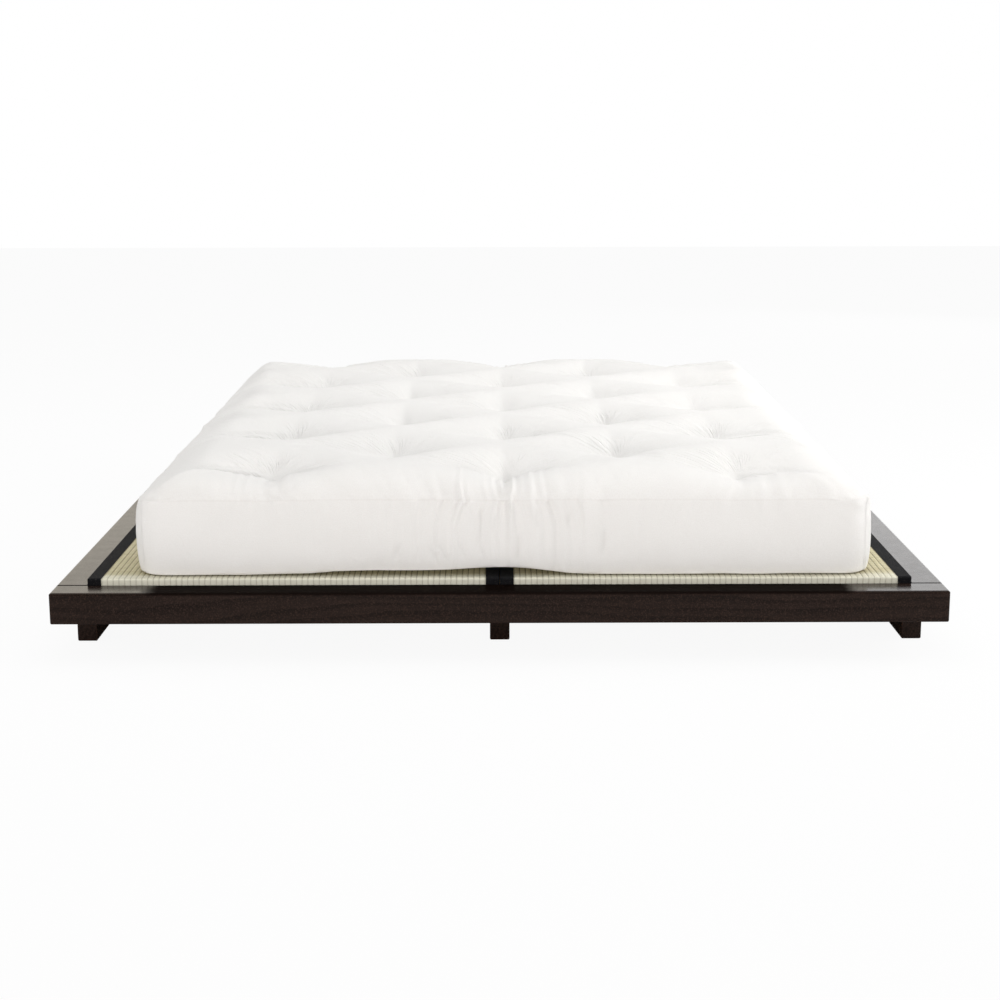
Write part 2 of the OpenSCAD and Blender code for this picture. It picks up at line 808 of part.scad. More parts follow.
place_mat(-1) mat_backing();  // left_mat_backing
place_mat(1) mat_core();  // right_mat_core
place_mat(1) mat_rush_cover();  // right_mat_rush_cover
place_mat(1) mat_border();  // right_mat_outer_border
place_mat(1) mirror([1, 0, 0]) mat_border();  // right_mat_inner_border
place_mat(1) mat_backing();  // right_mat_backing
futon_top_panel();
futon_boxing();
futon_bottom_panel();
futon_upper_batting();
futon_firm_layer();
futon_lower_batting();
futon_tufts();
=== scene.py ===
"""Looks for a low platform bed: stained rails, rush mats and a hand-tufted cotton mattress.

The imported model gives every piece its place. This script finishes its wood, steel, rush and cloth,
and makes the mattress as a stuffed case, swollen by its filling and tied down at its tufts.
"""

from __future__ import annotations

import logging
import math
from dataclasses import dataclass
from enum import Enum
from typing import Any, Mapping

import bmesh
import bpy
import numpy as np
from mathutils import Matrix, Vector


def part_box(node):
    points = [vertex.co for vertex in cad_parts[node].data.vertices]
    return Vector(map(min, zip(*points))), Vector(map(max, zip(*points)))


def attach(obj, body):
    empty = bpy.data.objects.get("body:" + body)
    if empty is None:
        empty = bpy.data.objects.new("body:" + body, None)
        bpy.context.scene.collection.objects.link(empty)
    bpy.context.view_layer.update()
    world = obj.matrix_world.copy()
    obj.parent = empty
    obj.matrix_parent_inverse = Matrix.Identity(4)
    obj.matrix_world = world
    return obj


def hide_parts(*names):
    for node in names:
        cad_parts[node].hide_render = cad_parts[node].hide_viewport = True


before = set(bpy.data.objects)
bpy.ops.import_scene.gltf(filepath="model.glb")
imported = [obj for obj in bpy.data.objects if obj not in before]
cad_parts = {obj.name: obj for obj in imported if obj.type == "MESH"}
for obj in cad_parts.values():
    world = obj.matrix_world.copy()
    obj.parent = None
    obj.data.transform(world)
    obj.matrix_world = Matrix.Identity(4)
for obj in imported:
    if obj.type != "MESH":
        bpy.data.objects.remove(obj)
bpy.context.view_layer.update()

LOG = logging.getLogger("platform_bed")

Colour = tuple[float, float, float, float]
Point = tuple[float, float, float]

WHITE: Colour = (1.0, 1.0, 1.0, 1.0)


# ---------------------------------------------------------------- colour and node helpers


def srgb(red: int, green: int, blue: int) -> Colour:
    """Turns a colour as seen on screen into the linear colour that a shader takes.

    Args:
        red: Red from 0 to 255.
        green: Green from 0 to 255.
        blue: Blue from 0 to 255.

    Returns:
        The linear red, green and blue, with full alpha.
    """

    def linear(level: int) -> float:
        """Undoes the screen's curve for one channel."""
        share = level / 255
        return share / 12.92 if share <= 0.04045 else ((share + 0.055) / 1.055) ** 2.4

    return (linear(red), linear(green), linear(blue), 1.0)


class Graph:
    """A node tree with short calls for the nodes that the finishes are made of."""

    def __init__(self, tree: bpy.types.NodeTree) -> None:
        """Keeps the tree that the calls add to."""
        self.tree = tree

    def feed(self, socket: bpy.types.NodeSocket, value: Any) -> None:
        """Links a socket to another node's output, or sets its value.

        Args:
            socket: The input to fill.
            value: A node's output socket, or a plain value.
        """
        if isinstance(value, bpy.types.NodeSocket):
            self.tree.links.new(value, socket)
        elif value is not None:
            socket.default_value = value

    def add(self, kind: str, inputs: Mapping[str | int, Any] | None = None,
            **settings: Any) -> bpy.types.Node:
        """Adds one node.

        Args:
            kind: The node's type name.
            inputs: What goes into its sockets, by name or by place.
            settings: Properties of the node itself.

        Returns:
            The new node.
        """
        node = self.tree.nodes.new(kind)
        for name, value in settings.items():
            setattr(node, name, value)
        for key, value in (inputs or {}).items():
            self.feed(node.inputs[key], value)
        return node

    def math(self, operation: str, *values: Any, clamp: bool = False) -> bpy.types.NodeSocket:
        """Works out one number from up to three others.

        Args:
            operation: The Math node's operation.
            values: Sockets or numbers, in the node's own order.
            clamp: Whether the result is kept from 0 to 1.

        Returns:
            The result's socket.
        """
        node = self.add("ShaderNodeMath", dict(enumerate(values)), operation=operation)
        node.use_clamp = clamp
        return node.outputs[0]

    def vector(self, operation: str, *values: Any) -> bpy.types.NodeSocket:
        """Works out one vector from up to three others."""
        node = self.add("ShaderNodeVectorMath", dict(enumerate(values)), operation=operation)
        return node.outputs[0]

    def split(self, vector: bpy.types.NodeSocket) -> list[bpy.types.NodeSocket]:
        """Takes a vector apart into its three numbers."""
        return list(self.add("ShaderNodeSeparateXYZ", {0: vector}).outputs)

    def join(self, *numbers: Any) -> bpy.types.NodeSocket:
        """Puts three numbers together as a vector."""
        return self.add("ShaderNodeCombineXYZ", dict(enumerate(numbers))).outputs[0]

    def noise(self, vector: bpy.types.NodeSocket, scale: float, detail: float = 2.0,
              roughness: float = 0.5, distortion: float = 0.0) -> bpy.types.NodeSocket:
        """Adds a cloudy noise from 0 to 1 and returns its value."""
        inputs = {"Vector": vector, "Scale": scale, "Detail": detail,
                  "Roughness": roughness, "Distortion": distortion}
        return self.add("ShaderNodeTexNoise", inputs, noise_dimensions="3D").outputs[0]

    def span(self, value: bpy.types.NodeSocket, low: float, high: float, to_low: float = 0.0,
             to_high: float = 1.0, smooth: bool = True) -> bpy.types.NodeSocket:
        """Maps one range of numbers to another.

        Args:
            value: The number to map.
            low: What becomes to_low.
            high: What becomes to_high.
            to_low: The result at and below low.
            to_high: The result at and above high.
            smooth: Whether the ends ease in.

        Returns:
            The mapped number.
        """
        kind = "SMOOTHSTEP" if smooth else "LINEAR"
        node = self.add("ShaderNodeMapRange", {0: value, 1: low, 2: high, 3: to_low, 4: to_high},
                        interpolation_type=kind, clamp=True)
        return node.outputs[0]

    def mix(self, share: Any, first: Any, second: Any, blend: str = "MIX") -> bpy.types.NodeSocket:
        """Mixes two colours by a share from 0 to 1."""
        node = self.add("ShaderNodeMix", {0: share, 6: first, 7: second},
                        data_type="RGBA", blend_type=blend)
        return node.outputs[2]

    def clamp(self, value: Any) -> bpy.types.NodeSocket:
        """Keeps a number from 0 to 1."""
        return self.math("ADD", value, 0.0, clamp=True)

    def bump(self, height: Any, distance: float, strength: float = 1.0,
             normal: Any = None) -> bpy.types.NodeSocket:
        """Turns a height from 0 to 1, over a distance in metres, into a normal."""
        inputs = {"Strength": strength, "Distance": distance, "Height": height, "Normal": normal}
        return self.add("ShaderNodeBump", inputs).outputs[0]


class Effect:
    """A shader node group that several finishes use, made once and placed with their own values."""

    made: dict[str, bpy.types.NodeTree] = {}

    def __init__(self, name: str, inputs: Mapping[str, tuple[str, Any]],
                 outputs: Mapping[str, str]) -> None:
        """Starts a group.

        Args:
            name: The group's name.
            inputs: Each input's kind of socket and default value, by its name.
            outputs: Each output's kind of socket, by its name.
        """
        self.tree = bpy.data.node_groups.new(name, "ShaderNodeTree")
        for label, (kind, value) in inputs.items():
            socket = self.tree.interface.new_socket(label, in_out="INPUT", socket_type=kind)
            if value is not None:
                socket.default_value = value
        for label, kind in outputs.items():
            self.tree.interface.new_socket(label, in_out="OUTPUT", socket_type=kind)
        self.graph = Graph(self.tree)
        self.given = self.tree.nodes.new("NodeGroupInput").outputs
        self.gives = self.tree.nodes.new("NodeGroupOutput").inputs
        Effect.made[name] = self.tree

    @staticmethod
    def place(graph: Graph, name: str, inputs: Mapping[str, Any]) -> bpy.types.NodeOutputs:
        """Places a group in a material and returns what it puts out.

        Args:
            graph: The material's tree.
            name: The group's name.
            inputs: Values or sockets for the group's inputs.

        Returns:
            The group node's outputs.
        """
        node = graph.add("ShaderNodeGroup", node_tree=Effect.made[name])
        for key, value in inputs.items():
            graph.feed(node.inputs[key], value)
        return node.outputs


NUMBER = "NodeSocketFloat"
VECTOR = "NodeSocketVector"


def make_wood_figure() -> None:
    """Makes the grain of a sawn board that runs along X: rings, fibres and pores."""
    effect = Effect("wood_figure",
                    {"Vector": (VECTOR, None), "Ring width": (NUMBER, 0.012), "Wander": (NUMBER, 1.0)},
                    {"Rings": NUMBER, "Fibres": NUMBER, "Pores": NUMBER})
    g = effect.graph
    board = effect.given["Vector"]
    lie = g.vector("MULTIPLY", board, (1.1, 9.0, 7.0))
    sway = g.noise(lie, 1.0, detail=3.0, roughness=0.45)
    _, across, height = g.split(board)
    sheets = g.math("ADD", across, g.math("MULTIPLY", height, 0.6))
    steps = g.math("DIVIDE", sheets, effect.given["Ring width"])
    drift = g.math("MULTIPLY", sway, g.math("MULTIPLY", effect.given["Wander"], 9.0))
    phase = g.math("FRACT", g.math("ADD", steps, drift))
    late = g.math("MULTIPLY", g.span(phase, 0.25, 0.93), g.span(phase, 1.0, 0.95))
    g.feed(effect.gives["Rings"], late)
    streaks = g.vector("MULTIPLY", board, (9.0, 620.0, 620.0))
    g.feed(effect.gives["Fibres"], g.noise(streaks, 1.0, detail=3.0, roughness=0.6))
    pits = g.noise(g.vector("MULTIPLY", board, (38.0, 1500.0, 1500.0)), 1.0, detail=1.0)
    g.feed(effect.gives["Pores"], g.span(pits, 0.63, 0.73))


def make_plain_weave() -> None:
    """Makes a plain weave in the X and Y of its vector: warp over weft, then weft over warp."""
    effect = Effect("plain_weave",
                    {"Vector": (VECTOR, None), "Warp": (NUMBER, 0.0015), "Weft": (NUMBER, 0.0015)},
                    {"Height": NUMBER, "Warp side": NUMBER, "Thread": NUMBER})
    g = effect.graph
    x, y = g.split(effect.given["Vector"])[:2]
    a = g.math("DIVIDE", x, effect.given["Warp"])
    b = g.math("DIVIDE", y, effect.given["Weft"])
    parity = g.math("MODULO", g.math("ADD", g.math("FLOOR", a), g.math("FLOOR", b)), 2.0)
    side = g.math("ABSOLUTE", parity)
    across = g.math("SINE", g.math("MULTIPLY", g.math("FRACT", a), math.pi))
    along = g.math("SINE", g.math("MULTIPLY", g.math("FRACT", b), math.pi))
    warp = g.math("MULTIPLY", across, g.math("MULTIPLY_ADD", along, 0.45, 0.55))
    weft = g.math("MULTIPLY", along, g.math("MULTIPLY_ADD", across, 0.45, 0.55))
    shown = g.math("ADD", g.math("MULTIPLY", warp, g.math("SUBTRACT", 1.0, side)),
                   g.math("MULTIPLY", weft, side))
    g.feed(effect.gives["Height"], shown)
    g.feed(effect.gives["Warp side"], side)
    picks = g.join(g.math("FLOOR", a), g.math("FLOOR", b), 0.0)
    lone = g.add("ShaderNodeTexWhiteNoise", {"Vector": picks}, noise_dimensions="3D").outputs[0]
    g.feed(effect.gives["Thread"], lone)


def make_mottle() -> None:
    """Makes a slow change of tone over a surface, from broad patches down to specks."""
    effect = Effect("mottle",
                    {"Vector": (VECTOR, None), "Size": (NUMBER, 0.3)},
                    {"Broad": NUMBER, "Fine": NUMBER})
    g = effect.graph
    per_metre = g.math("DIVIDE", 1.0, effect.given["Size"])
    scaled = g.vector("SCALE", effect.given["Vector"])
    g.feed(scaled.node.inputs["Scale"], per_metre)
    g.feed(effect.gives["Broad"], g.noise(scaled, 1.0, detail=2.0, roughness=0.5))
    g.feed(effect.gives["Fine"], g.noise(scaled, 11.0, detail=4.0, roughness=0.65))


def make_worn_edge() -> None:
    """Makes a mask of the arrises, broken up where they have been worn less."""
    effect = Effect("worn_edge",
                    {"Vector": (VECTOR, None), "Radius": (NUMBER, 0.003), "Sharpness": (NUMBER, 5.0)},
                    {"Mask": NUMBER})
    g = effect.graph
    eased = g.add("ShaderNodeBevel", {"Radius": effect.given["Radius"]}, samples=4).outputs[0]
    flat = g.add("ShaderNodeNewGeometry").outputs["Normal"]
    turn = g.add("ShaderNodeVectorMath", {0: eased, 1: flat}, operation="DOT_PRODUCT").outputs["Value"]
    edge = g.math("MULTIPLY", g.math("SUBTRACT", 1.0, turn), effect.given["Sharpness"], clamp=True)
    rub = g.noise(effect.given["Vector"], 38.0, detail=4.0, roughness=0.65)
    g.feed(effect.gives["Mask"], g.math("MULTIPLY", edge, g.span(rub, 0.36, 0.62)))


def make_tuft_creases() -> None:
    """Makes fine creases that sweep into each tuft of a staggered lattice, from behind and beside it."""
    effect = Effect("tuft_creases",
                    {"Vector": (VECTOR, None), "Across": (NUMBER, 0.26), "Along": (NUMBER, 0.217)},
                    {"Height": NUMBER})
    g = effect.graph
    x, y = g.split(effect.given["Vector"])[:2]
    across, along = effect.given["Across"], effect.given["Along"]
    u, v = g.math("DIVIDE", x, across), g.math("DIVIDE", y, along)
    first = g.math("MULTIPLY", g.math("ADD", u, v), 0.5)
    second = g.math("MULTIPLY", g.math("SUBTRACT", u, v), 0.5)
    cell = [g.math("ROUND", first), g.math("ROUND", second)]
    left = [g.math("SUBTRACT", first, cell[0]), g.math("SUBTRACT", second, cell[1])]
    patch = g.noise(effect.given["Vector"], 5.0, detail=1.0)
    total: Any = 0.0
    for beside, run, whole, lane, share in ((left[0], left[1], second, cell[0], 1.0),
                                            (left[1], left[0], first, cell[1], 0.45)):
        bow = g.math("SINE", g.math("MULTIPLY", g.math("ABSOLUTE", run), math.pi))
        arc = g.math("DIVIDE", beside, g.math("ADD", bow, 0.16))
        place = g.join(g.math("MULTIPLY", arc, 21.0), g.math("MULTIPLY", whole, 2.6),
                       g.math("MULTIPLY", lane, 7.7))
        wave = g.noise(place, 1.0, detail=2.0, roughness=0.5)
        ridged = g.math("ABSOLUTE", g.math("SUBTRACT", wave, 0.5))
        kept = g.math("MULTIPLY", g.span(g.math("ABSOLUTE", beside), 0.42, 0.10),
                      g.span(g.math("ABSOLUTE", run), 0.03, 0.16))
        kept = g.math("MULTIPLY", kept, g.span(patch, 0.36, 0.60, 0.1 * share, share))
        total = g.math("MULTIPLY_ADD", ridged, kept, total)
    g.feed(effect.gives["Height"], total)


def make_effects() -> None:
    """Makes every group that the finishes share."""
    for make in (make_wood_figure, make_plain_weave, make_mottle, make_worn_edge, make_tuft_creases):
        make()


# ---------------------------------------------------------------- finishes


class Lie(Enum):
    """Which way a board's length runs, as the turn that lays it along X."""

    ALONG_X = 0.0
    ALONG_Y = -math.pi / 2


@dataclass(frozen=True)
class Finish:
    """A finish: a name and a way to make its material."""

    name: str

    def start(self) -> tuple[bpy.types.Material, Graph, bpy.types.Node]:
        """Starts a material and returns it with its tree and its Principled shader."""
        material = bpy.data.materials.new(self.name)
        material.use_nodes = True
        graph = Graph(material.node_tree)
        return material, graph, material.node_tree.nodes["Principled BSDF"]

    def make(self) -> bpy.types.Material:
        """Makes the material."""
        raise NotImplementedError

    @staticmethod
    def fix(shader: bpy.types.Node, constants: Mapping[str, float]) -> None:
        """Sets inputs of the shader that are the same all over."""
        for name, value in constants.items():
            shader.inputs[name].default_value = value

    @staticmethod
    def place(graph: Graph, turn: float = 0.0) -> bpy.types.NodeSocket:
        """Gives the piece's own coordinates in metres, turned about Z."""
        coordinates = graph.add("ShaderNodeTexCoord").outputs["Object"]
        if turn == 0.0:
            return coordinates
        return graph.add("ShaderNodeMapping", {"Vector": coordinates, "Rotation": (0.0, 0.0, turn)},
                         vector_type="POINT").outputs[0]


@dataclass(frozen=True)
class StainedWood(Finish):
    """Pine under a near-black brown stain and a satin varnish, paler where arrises are worn, with painted
    shade on a worn top and at a joint.
    """

    lie: Lie = Lie.ALONG_X
    stain: Colour = srgb(40, 30, 26)
    deep: Colour = srgb(25, 18, 15)
    lit: Colour = srgb(64, 48, 41)
    painted_shade: Colour = srgb(11, 7, 6)
    bare: Colour = srgb(104, 70, 50)
    # gap: the near-black painted shadow at a joint.
    gap: Colour = srgb(4, 3, 3)
    # The front rail's worn top, darkened with painted shade: half its span, and the height where it starts.
    worn_shaded_half: float = 0.0
    worn_shaded_front: float = -1.0
    joint: float = 0.0
    joint_reach: tuple[float, float] = (0.0045, 0.0075)

    def make(self) -> bpy.types.Material:
        """Makes the material."""
        material, g, shader = self.start()
        board = self.place(g, self.lie.value)
        figure = Effect.place(g, "wood_figure", {"Vector": board, "Ring width": 0.016, "Wander": 0.8})
        tone = Effect.place(g, "mottle", {"Vector": board, "Size": 0.35})
        worn = Effect.place(g, "worn_edge", {"Vector": board, "Radius": 0.004, "Sharpness": 3.0})["Mask"]
        streaks = g.math("MULTIPLY_ADD", figure["Fibres"], 0.8, g.math("MULTIPLY", figure["Rings"], 0.35))
        colour = g.mix(g.span(streaks, 0.2, 0.85), self.stain, self.deep)
        colour = g.mix(g.span(tone["Broad"], 0.35, 0.7, 0.0, 0.4), colour, self.deep)
        specks = g.noise(board, 380.0, detail=2.0, roughness=0.7)
        colour = g.mix(g.span(specks, 0.45, 0.72, 0.0, 0.6), colour, self.lit)
        colour = g.mix(g.math("MULTIPLY", worn, 0.55), colour, self.bare)
        worn_and_shaded: bpy.types.NodeSocket | float = 0.0
        if self.worn_shaded_half > 0.0:
            worn_and_shaded = self.worn_and_shaded_part(g, board, tone["Fine"])
            # Painted shade: the worn middle of the front rail's top is darkened nearly to black.
            colour = g.mix(g.math("MULTIPLY", worn_and_shaded, 0.8), colour, self.painted_shade)
        coat = self.varnish(g, tone["Fine"], worn_and_shaded)
        # Painted shadow: a side rail's ends are darkened nearly to black for the shade in the joint's
        # groove, and they lose their varnish there.
        if self.joint > 0.0:
            along = g.math("ABSOLUTE", g.split(board)[0])
            dark_by, clear_by = self.joint_reach
            joint_shadow_share = g.span(g.math("SUBTRACT", self.joint, along), clear_by, dark_by)
            colour = g.mix(joint_shadow_share, colour, self.gap)
            coat = g.math("MULTIPLY", coat, g.math("SUBTRACT", 1.0, joint_shadow_share))
        g.feed(shader.inputs["Base Color"], colour)
        g.feed(shader.inputs["Roughness"], g.span(figure["Fibres"], 0.2, 0.8, 0.5, 0.66))
        self.fix(shader, {"Specular IOR Level": 0.0, "Coat Roughness": 0.24, "Coat IOR": 1.42})
        g.feed(shader.inputs["Coat Weight"], coat)
        height = g.math("ADD", g.math("MULTIPLY", figure["Fibres"], 0.6),
                        g.math("MULTIPLY", figure["Pores"], -0.5))
        height = g.math("ADD", height, g.math("MULTIPLY", figure["Rings"], 0.25))
        g.feed(shader.inputs["Normal"], g.bump(height, 0.00025, 0.5))
        return material

    def varnish(self, g: Graph, fine: bpy.types.NodeSocket,
                worn_and_shaded: bpy.types.NodeSocket | float) -> bpy.types.NodeSocket:
        """Gives how much varnish there is: less on upright faces, hardly any on the worn part.

        Args:
            g: The material's tree.
            fine: A fine noise that breaks up the coat.
            worn_and_shaded: The share that is worn off and painted in shade.

        Returns:
            The coat's weight.
        """
        facing = g.split(g.add("ShaderNodeNewGeometry").outputs["Normal"])[2]
        level = g.span(facing, 0.15, 0.55, 0.22, 1.0)
        full = g.math("MULTIPLY", level, g.span(fine, 0.3, 0.7, 0.9, 1.0))
        return g.math("MULTIPLY", full, g.math("MULTIPLY_ADD", worn_and_shaded, -0.95, 1.0))

    def worn_and_shaded_part(self, g: Graph, board: bpy.types.NodeSocket,
                    fine: bpy.types.NodeSocket) -> bpy.types.NodeSocket:
        """Marks the middle of an edge that people sit on: the varnish has gone there, and the colour is
        darkened as painted shade.

        Args:
            g: The material's tree.
            board: The board's coordinates.
            fine: A fine noise that breaks up the wear.

        Returns:
            The share that is worn off and painted in shade.
        """
        x, _, z = g.split(board)
        reach = g.math("SUBTRACT", self.worn_shaded_half, g.math("ABSOLUTE", x))
        middle = g.span(g.math("SUBTRACT", reach, g.math("MULTIPLY", fine, 0.02)), -0.035, 0.0)
        on_top = g.span(z, self.worn_shaded_front - 0.006, self.worn_shaded_front)
        return g.math("MULTIPLY", middle, on_top)


@dataclass(frozen=True)
class BareTimber(Finish):
    """Planed timber that was left unfinished."""

    lie: Lie = Lie.ALONG_X
    pale: Colour = srgb(222, 190, 144)
    dark: Colour = srgb(186, 141, 92)
    ring_width: float = 0.009

    def make(self) -> bpy.types.Material:
        """Makes the material."""
        material, g, shader = self.start()
        board = self.place(g, self.lie.value)
        figure = Effect.place(g, "wood_figure",
                              {"Vector": board, "Ring width": self.ring_width, "Wander": 1.0})
        tone = Effect.place(g, "mottle", {"Vector": board, "Size": 0.25})
        share = g.math("MULTIPLY_ADD", figure["Rings"], 0.65, g.math("MULTIPLY", figure["Fibres"], 0.3))
        colour = g.mix(share, self.pale, self.dark)
        colour = g.mix(g.span(tone["Broad"], 0.35, 0.75, 0.0, 0.35), colour, self.dark)
        g.feed(shader.inputs["Base Color"], colour)
        g.feed(shader.inputs["Roughness"], g.span(figure["Fibres"], 0.2, 0.8, 0.55, 0.72))
        self.fix(shader, {"Specular IOR Level": 0.35})
        height = g.math("ADD", figure["Fibres"], g.math("MULTIPLY", figure["Rings"], 0.4))
        g.feed(shader.inputs["Normal"], g.bump(height, 0.0003, 0.6))
        return material


@dataclass(frozen=True)
class ZincPlate(Finish):
    """Bright zinc on steel, with its faint spangle and handling marks."""

    tint: Colour = srgb(196, 198, 198)
    dull: Colour = srgb(142, 143, 142)

    def make(self) -> bpy.types.Material:
        """Makes the material."""
        material, g, shader = self.start()
        spot = self.place(g)
        tone = Effect.place(g, "mottle", {"Vector": spot, "Size": 0.02})
        spangle = g.add("ShaderNodeTexVoronoi", {"Vector": spot, "Scale": 420.0}).outputs["Color"]
        share = g.math("MULTIPLY_ADD", tone["Fine"], 0.7, g.math("MULTIPLY", spangle, 0.3))
        g.feed(shader.inputs["Base Color"], g.mix(share, self.tint, self.dull))
        self.fix(shader, {"Metallic": 1.0})
        g.feed(shader.inputs["Roughness"], g.span(tone["Fine"], 0.3, 0.7, 0.28, 0.45))
        g.feed(shader.inputs["Normal"], g.bump(tone["Fine"], 0.0001, 0.3))
        return material


@dataclass(frozen=True)
class WovenRush(Finish):
    """A mat's face of soft rush: rushes laid across the mat and bound into ribs by hidden warps."""

    pale: Colour = srgb(222, 213, 179)
    green: Colour = srgb(199, 193, 152)
    tan: Colour = srgb(187, 169, 123)
    groove: Colour = srgb(98, 84, 52)
    painted_light: Colour = srgb(248, 247, 232)
    rib: float = 0.0125
    rib_start: float = 0.0
    rush: float = 0.0016
    half_length: float = 1.0
    painted_light_reach: tuple[float, float] = (0.015, 0.05)

    def make(self) -> bpy.types.Material:
        """Makes the material."""
        material, g, shader = self.start()
        spot = self.place(g)
        x, y, z = g.split(spot)
        bend = g.noise(g.vector("MULTIPLY", spot, (14.0, 3.0, 3.0)), 1.0, detail=2.0)
        length = g.math("SUBTRACT", y, z)
        run = g.math("ADD", g.math("DIVIDE", length, self.rush), g.math("MULTIPLY", bend, 1.2))
        which = g.math("FLOOR", run)
        round_rush = g.math("SINE", g.math("MULTIPLY", g.math("FRACT", run), math.pi))
        ribs = g.math("DIVIDE", g.math("SUBTRACT", x, self.rib_start), self.rib)
        in_rib = g.math("FRACT", ribs)
        pinch = g.math("SUBTRACT", 1.0, g.span(g.math("PINGPONG", in_rib, 0.5), 0.02, 0.13))
        stem = g.join(which, g.math("FLOOR", g.math("MULTIPLY", x, 2.2)), 0.0)
        lot = g.add("ShaderNodeTexWhiteNoise", {"Vector": stem}, noise_dimensions="2D")
        odd = g.split(lot.outputs["Color"])
        colour = g.mix(g.span(odd[0], 0.25, 1.0, 0.0, 0.75), self.pale, self.green)
        colour = g.mix(g.span(odd[1], 0.72, 1.0, 0.0, 0.7), colour, self.tan)
        tone = Effect.place(g, "mottle", {"Vector": spot, "Size": 0.22})
        colour = g.mix(g.span(tone["Broad"], 0.4, 0.75, 0.0, 0.3), colour, self.green)
        facing = g.split(g.add("ShaderNodeNewGeometry").outputs["Normal"])[1]
        # Painted light: the rush is paled towards the mat's front and back ends and on its upright end
        # faces, and its grooves are darkened less there.
        full_by, clear_by = self.painted_light_reach
        painted_light_margin = g.span(g.math("ABSOLUTE", y), self.half_length - clear_by,
                        self.half_length - full_by, 0.0, 0.75)
        end = g.math("MAXIMUM", painted_light_margin, g.span(g.math("ABSOLUTE", facing), 0.35, 0.85))
        colour = g.mix(g.math("MULTIPLY", end, 0.85), colour, self.painted_light)
        # Painted shade: the rib grooves and the gaps between rushes are darkened in colour.
        shut = g.math("MULTIPLY", pinch, g.span(end, 0.0, 1.0, 0.72, 0.26, smooth=False))
        colour = g.mix(shut, colour, self.groove)
        between = g.math("MULTIPLY", g.span(round_rush, 0.0, 0.5, 0.3, 0.0),
                         g.span(end, 0.0, 1.0, 1.0, 0.35, smooth=False))
        colour = g.mix(between, colour, self.groove)
        g.feed(shader.inputs["Base Color"], colour)
        g.feed(shader.inputs["Roughness"], g.span(odd[2], 0.0, 1.0, 0.5, 0.68))
        self.fix(shader, {"Specular IOR Level": 0.3})
        height = g.math("ADD", round_rush, g.math("MULTIPLY", pinch, -1.2))
        g.feed(shader.inputs["Normal"], g.bump(height, 0.0006, 0.8))
        return material


@dataclass(frozen=True)
class WovenCloth(Finish):
    """A plain-woven cloth that reads the piece's own coordinates."""

    colour: Colour = srgb(30, 30, 33)
    second: Colour = srgb(14, 14, 17)
    lint_colour: Colour = srgb(112, 110, 104)
    thread: float = 0.0013
    relief: float = 0.0004
    rough: float = 0.9
    sheen: float = 0.02
    lint: float = 0.35

    def make(self) -> bpy.types.Material:
        """Makes the material."""
        material, g, shader = self.start()
        spot = self.place(g)
        x, y, z = g.split(spot)
        cloth = g.join(g.math("ADD", x, z), g.math("SUBTRACT", y, z), 0.0)
        weave = Effect.place(g, "plain_weave",
                             {"Vector": cloth, "Warp": self.thread, "Weft": self.thread})
        tone = Effect.place(g, "mottle", {"Vector": spot, "Size": 0.12})
        share = g.math("MULTIPLY_ADD", weave["Height"], -0.6, 0.75)
        share = g.math("ADD", share, g.math("MULTIPLY_ADD", weave["Thread"], 0.3, -0.15))
        colour = g.mix(g.clamp(share), self.colour, self.second)
        colour = g.mix(g.span(tone["Fine"], 0.4, 0.8, 0.0, 0.4), colour, self.second)
        lint = g.noise(spot, 420.0, detail=2.0, roughness=0.7)
        colour = g.mix(g.span(lint, 0.56, 0.72, 0.0, self.lint), colour, self.lint_colour)
        g.feed(shader.inputs["Base Color"], colour)
        self.fix(shader, {"Roughness": self.rough, "Specular IOR Level": 0.12,
                          "Sheen Weight": self.sheen, "Sheen Roughness": 0.45})
        g.feed(shader.inputs["Normal"], g.bump(weave["Height"], self.relief, 0.8))
        return material


@dataclass(frozen=True)
class PackedFibre(Finish):
    """Straw, batting or twine: fibres pressed or felted together."""

    pale: Colour = srgb(226, 218, 200)
    dark: Colour = srgb(190, 178, 150)
    grain: float = 500.0
    rough: float = 0.9

    def make(self) -> bpy.types.Material:
        """Makes the material."""
        material, g, shader = self.start()
        spot = self.place(g)
        laid = g.vector("MULTIPLY", spot, (1.0, 0.25, 1.0))
        fibres = g.noise(laid, self.grain, detail=4.0, roughness=0.7, distortion=0.6)
        tone = Effect.place(g, "mottle", {"Vector": spot, "Size": 0.15})
        share = g.math("MULTIPLY_ADD", tone["Broad"], 0.3, g.math("MULTIPLY", fibres, 0.8))
        g.feed(shader.inputs["Base Color"], g.mix(g.span(share, 0.3, 0.75), self.pale, self.dark))
        self.fix(shader, {"Roughness": self.rough, "Specular IOR Level": 0.2})
        g.feed(shader.inputs["Normal"], g.bump(fibres, 0.0008, 0.7))
        return material


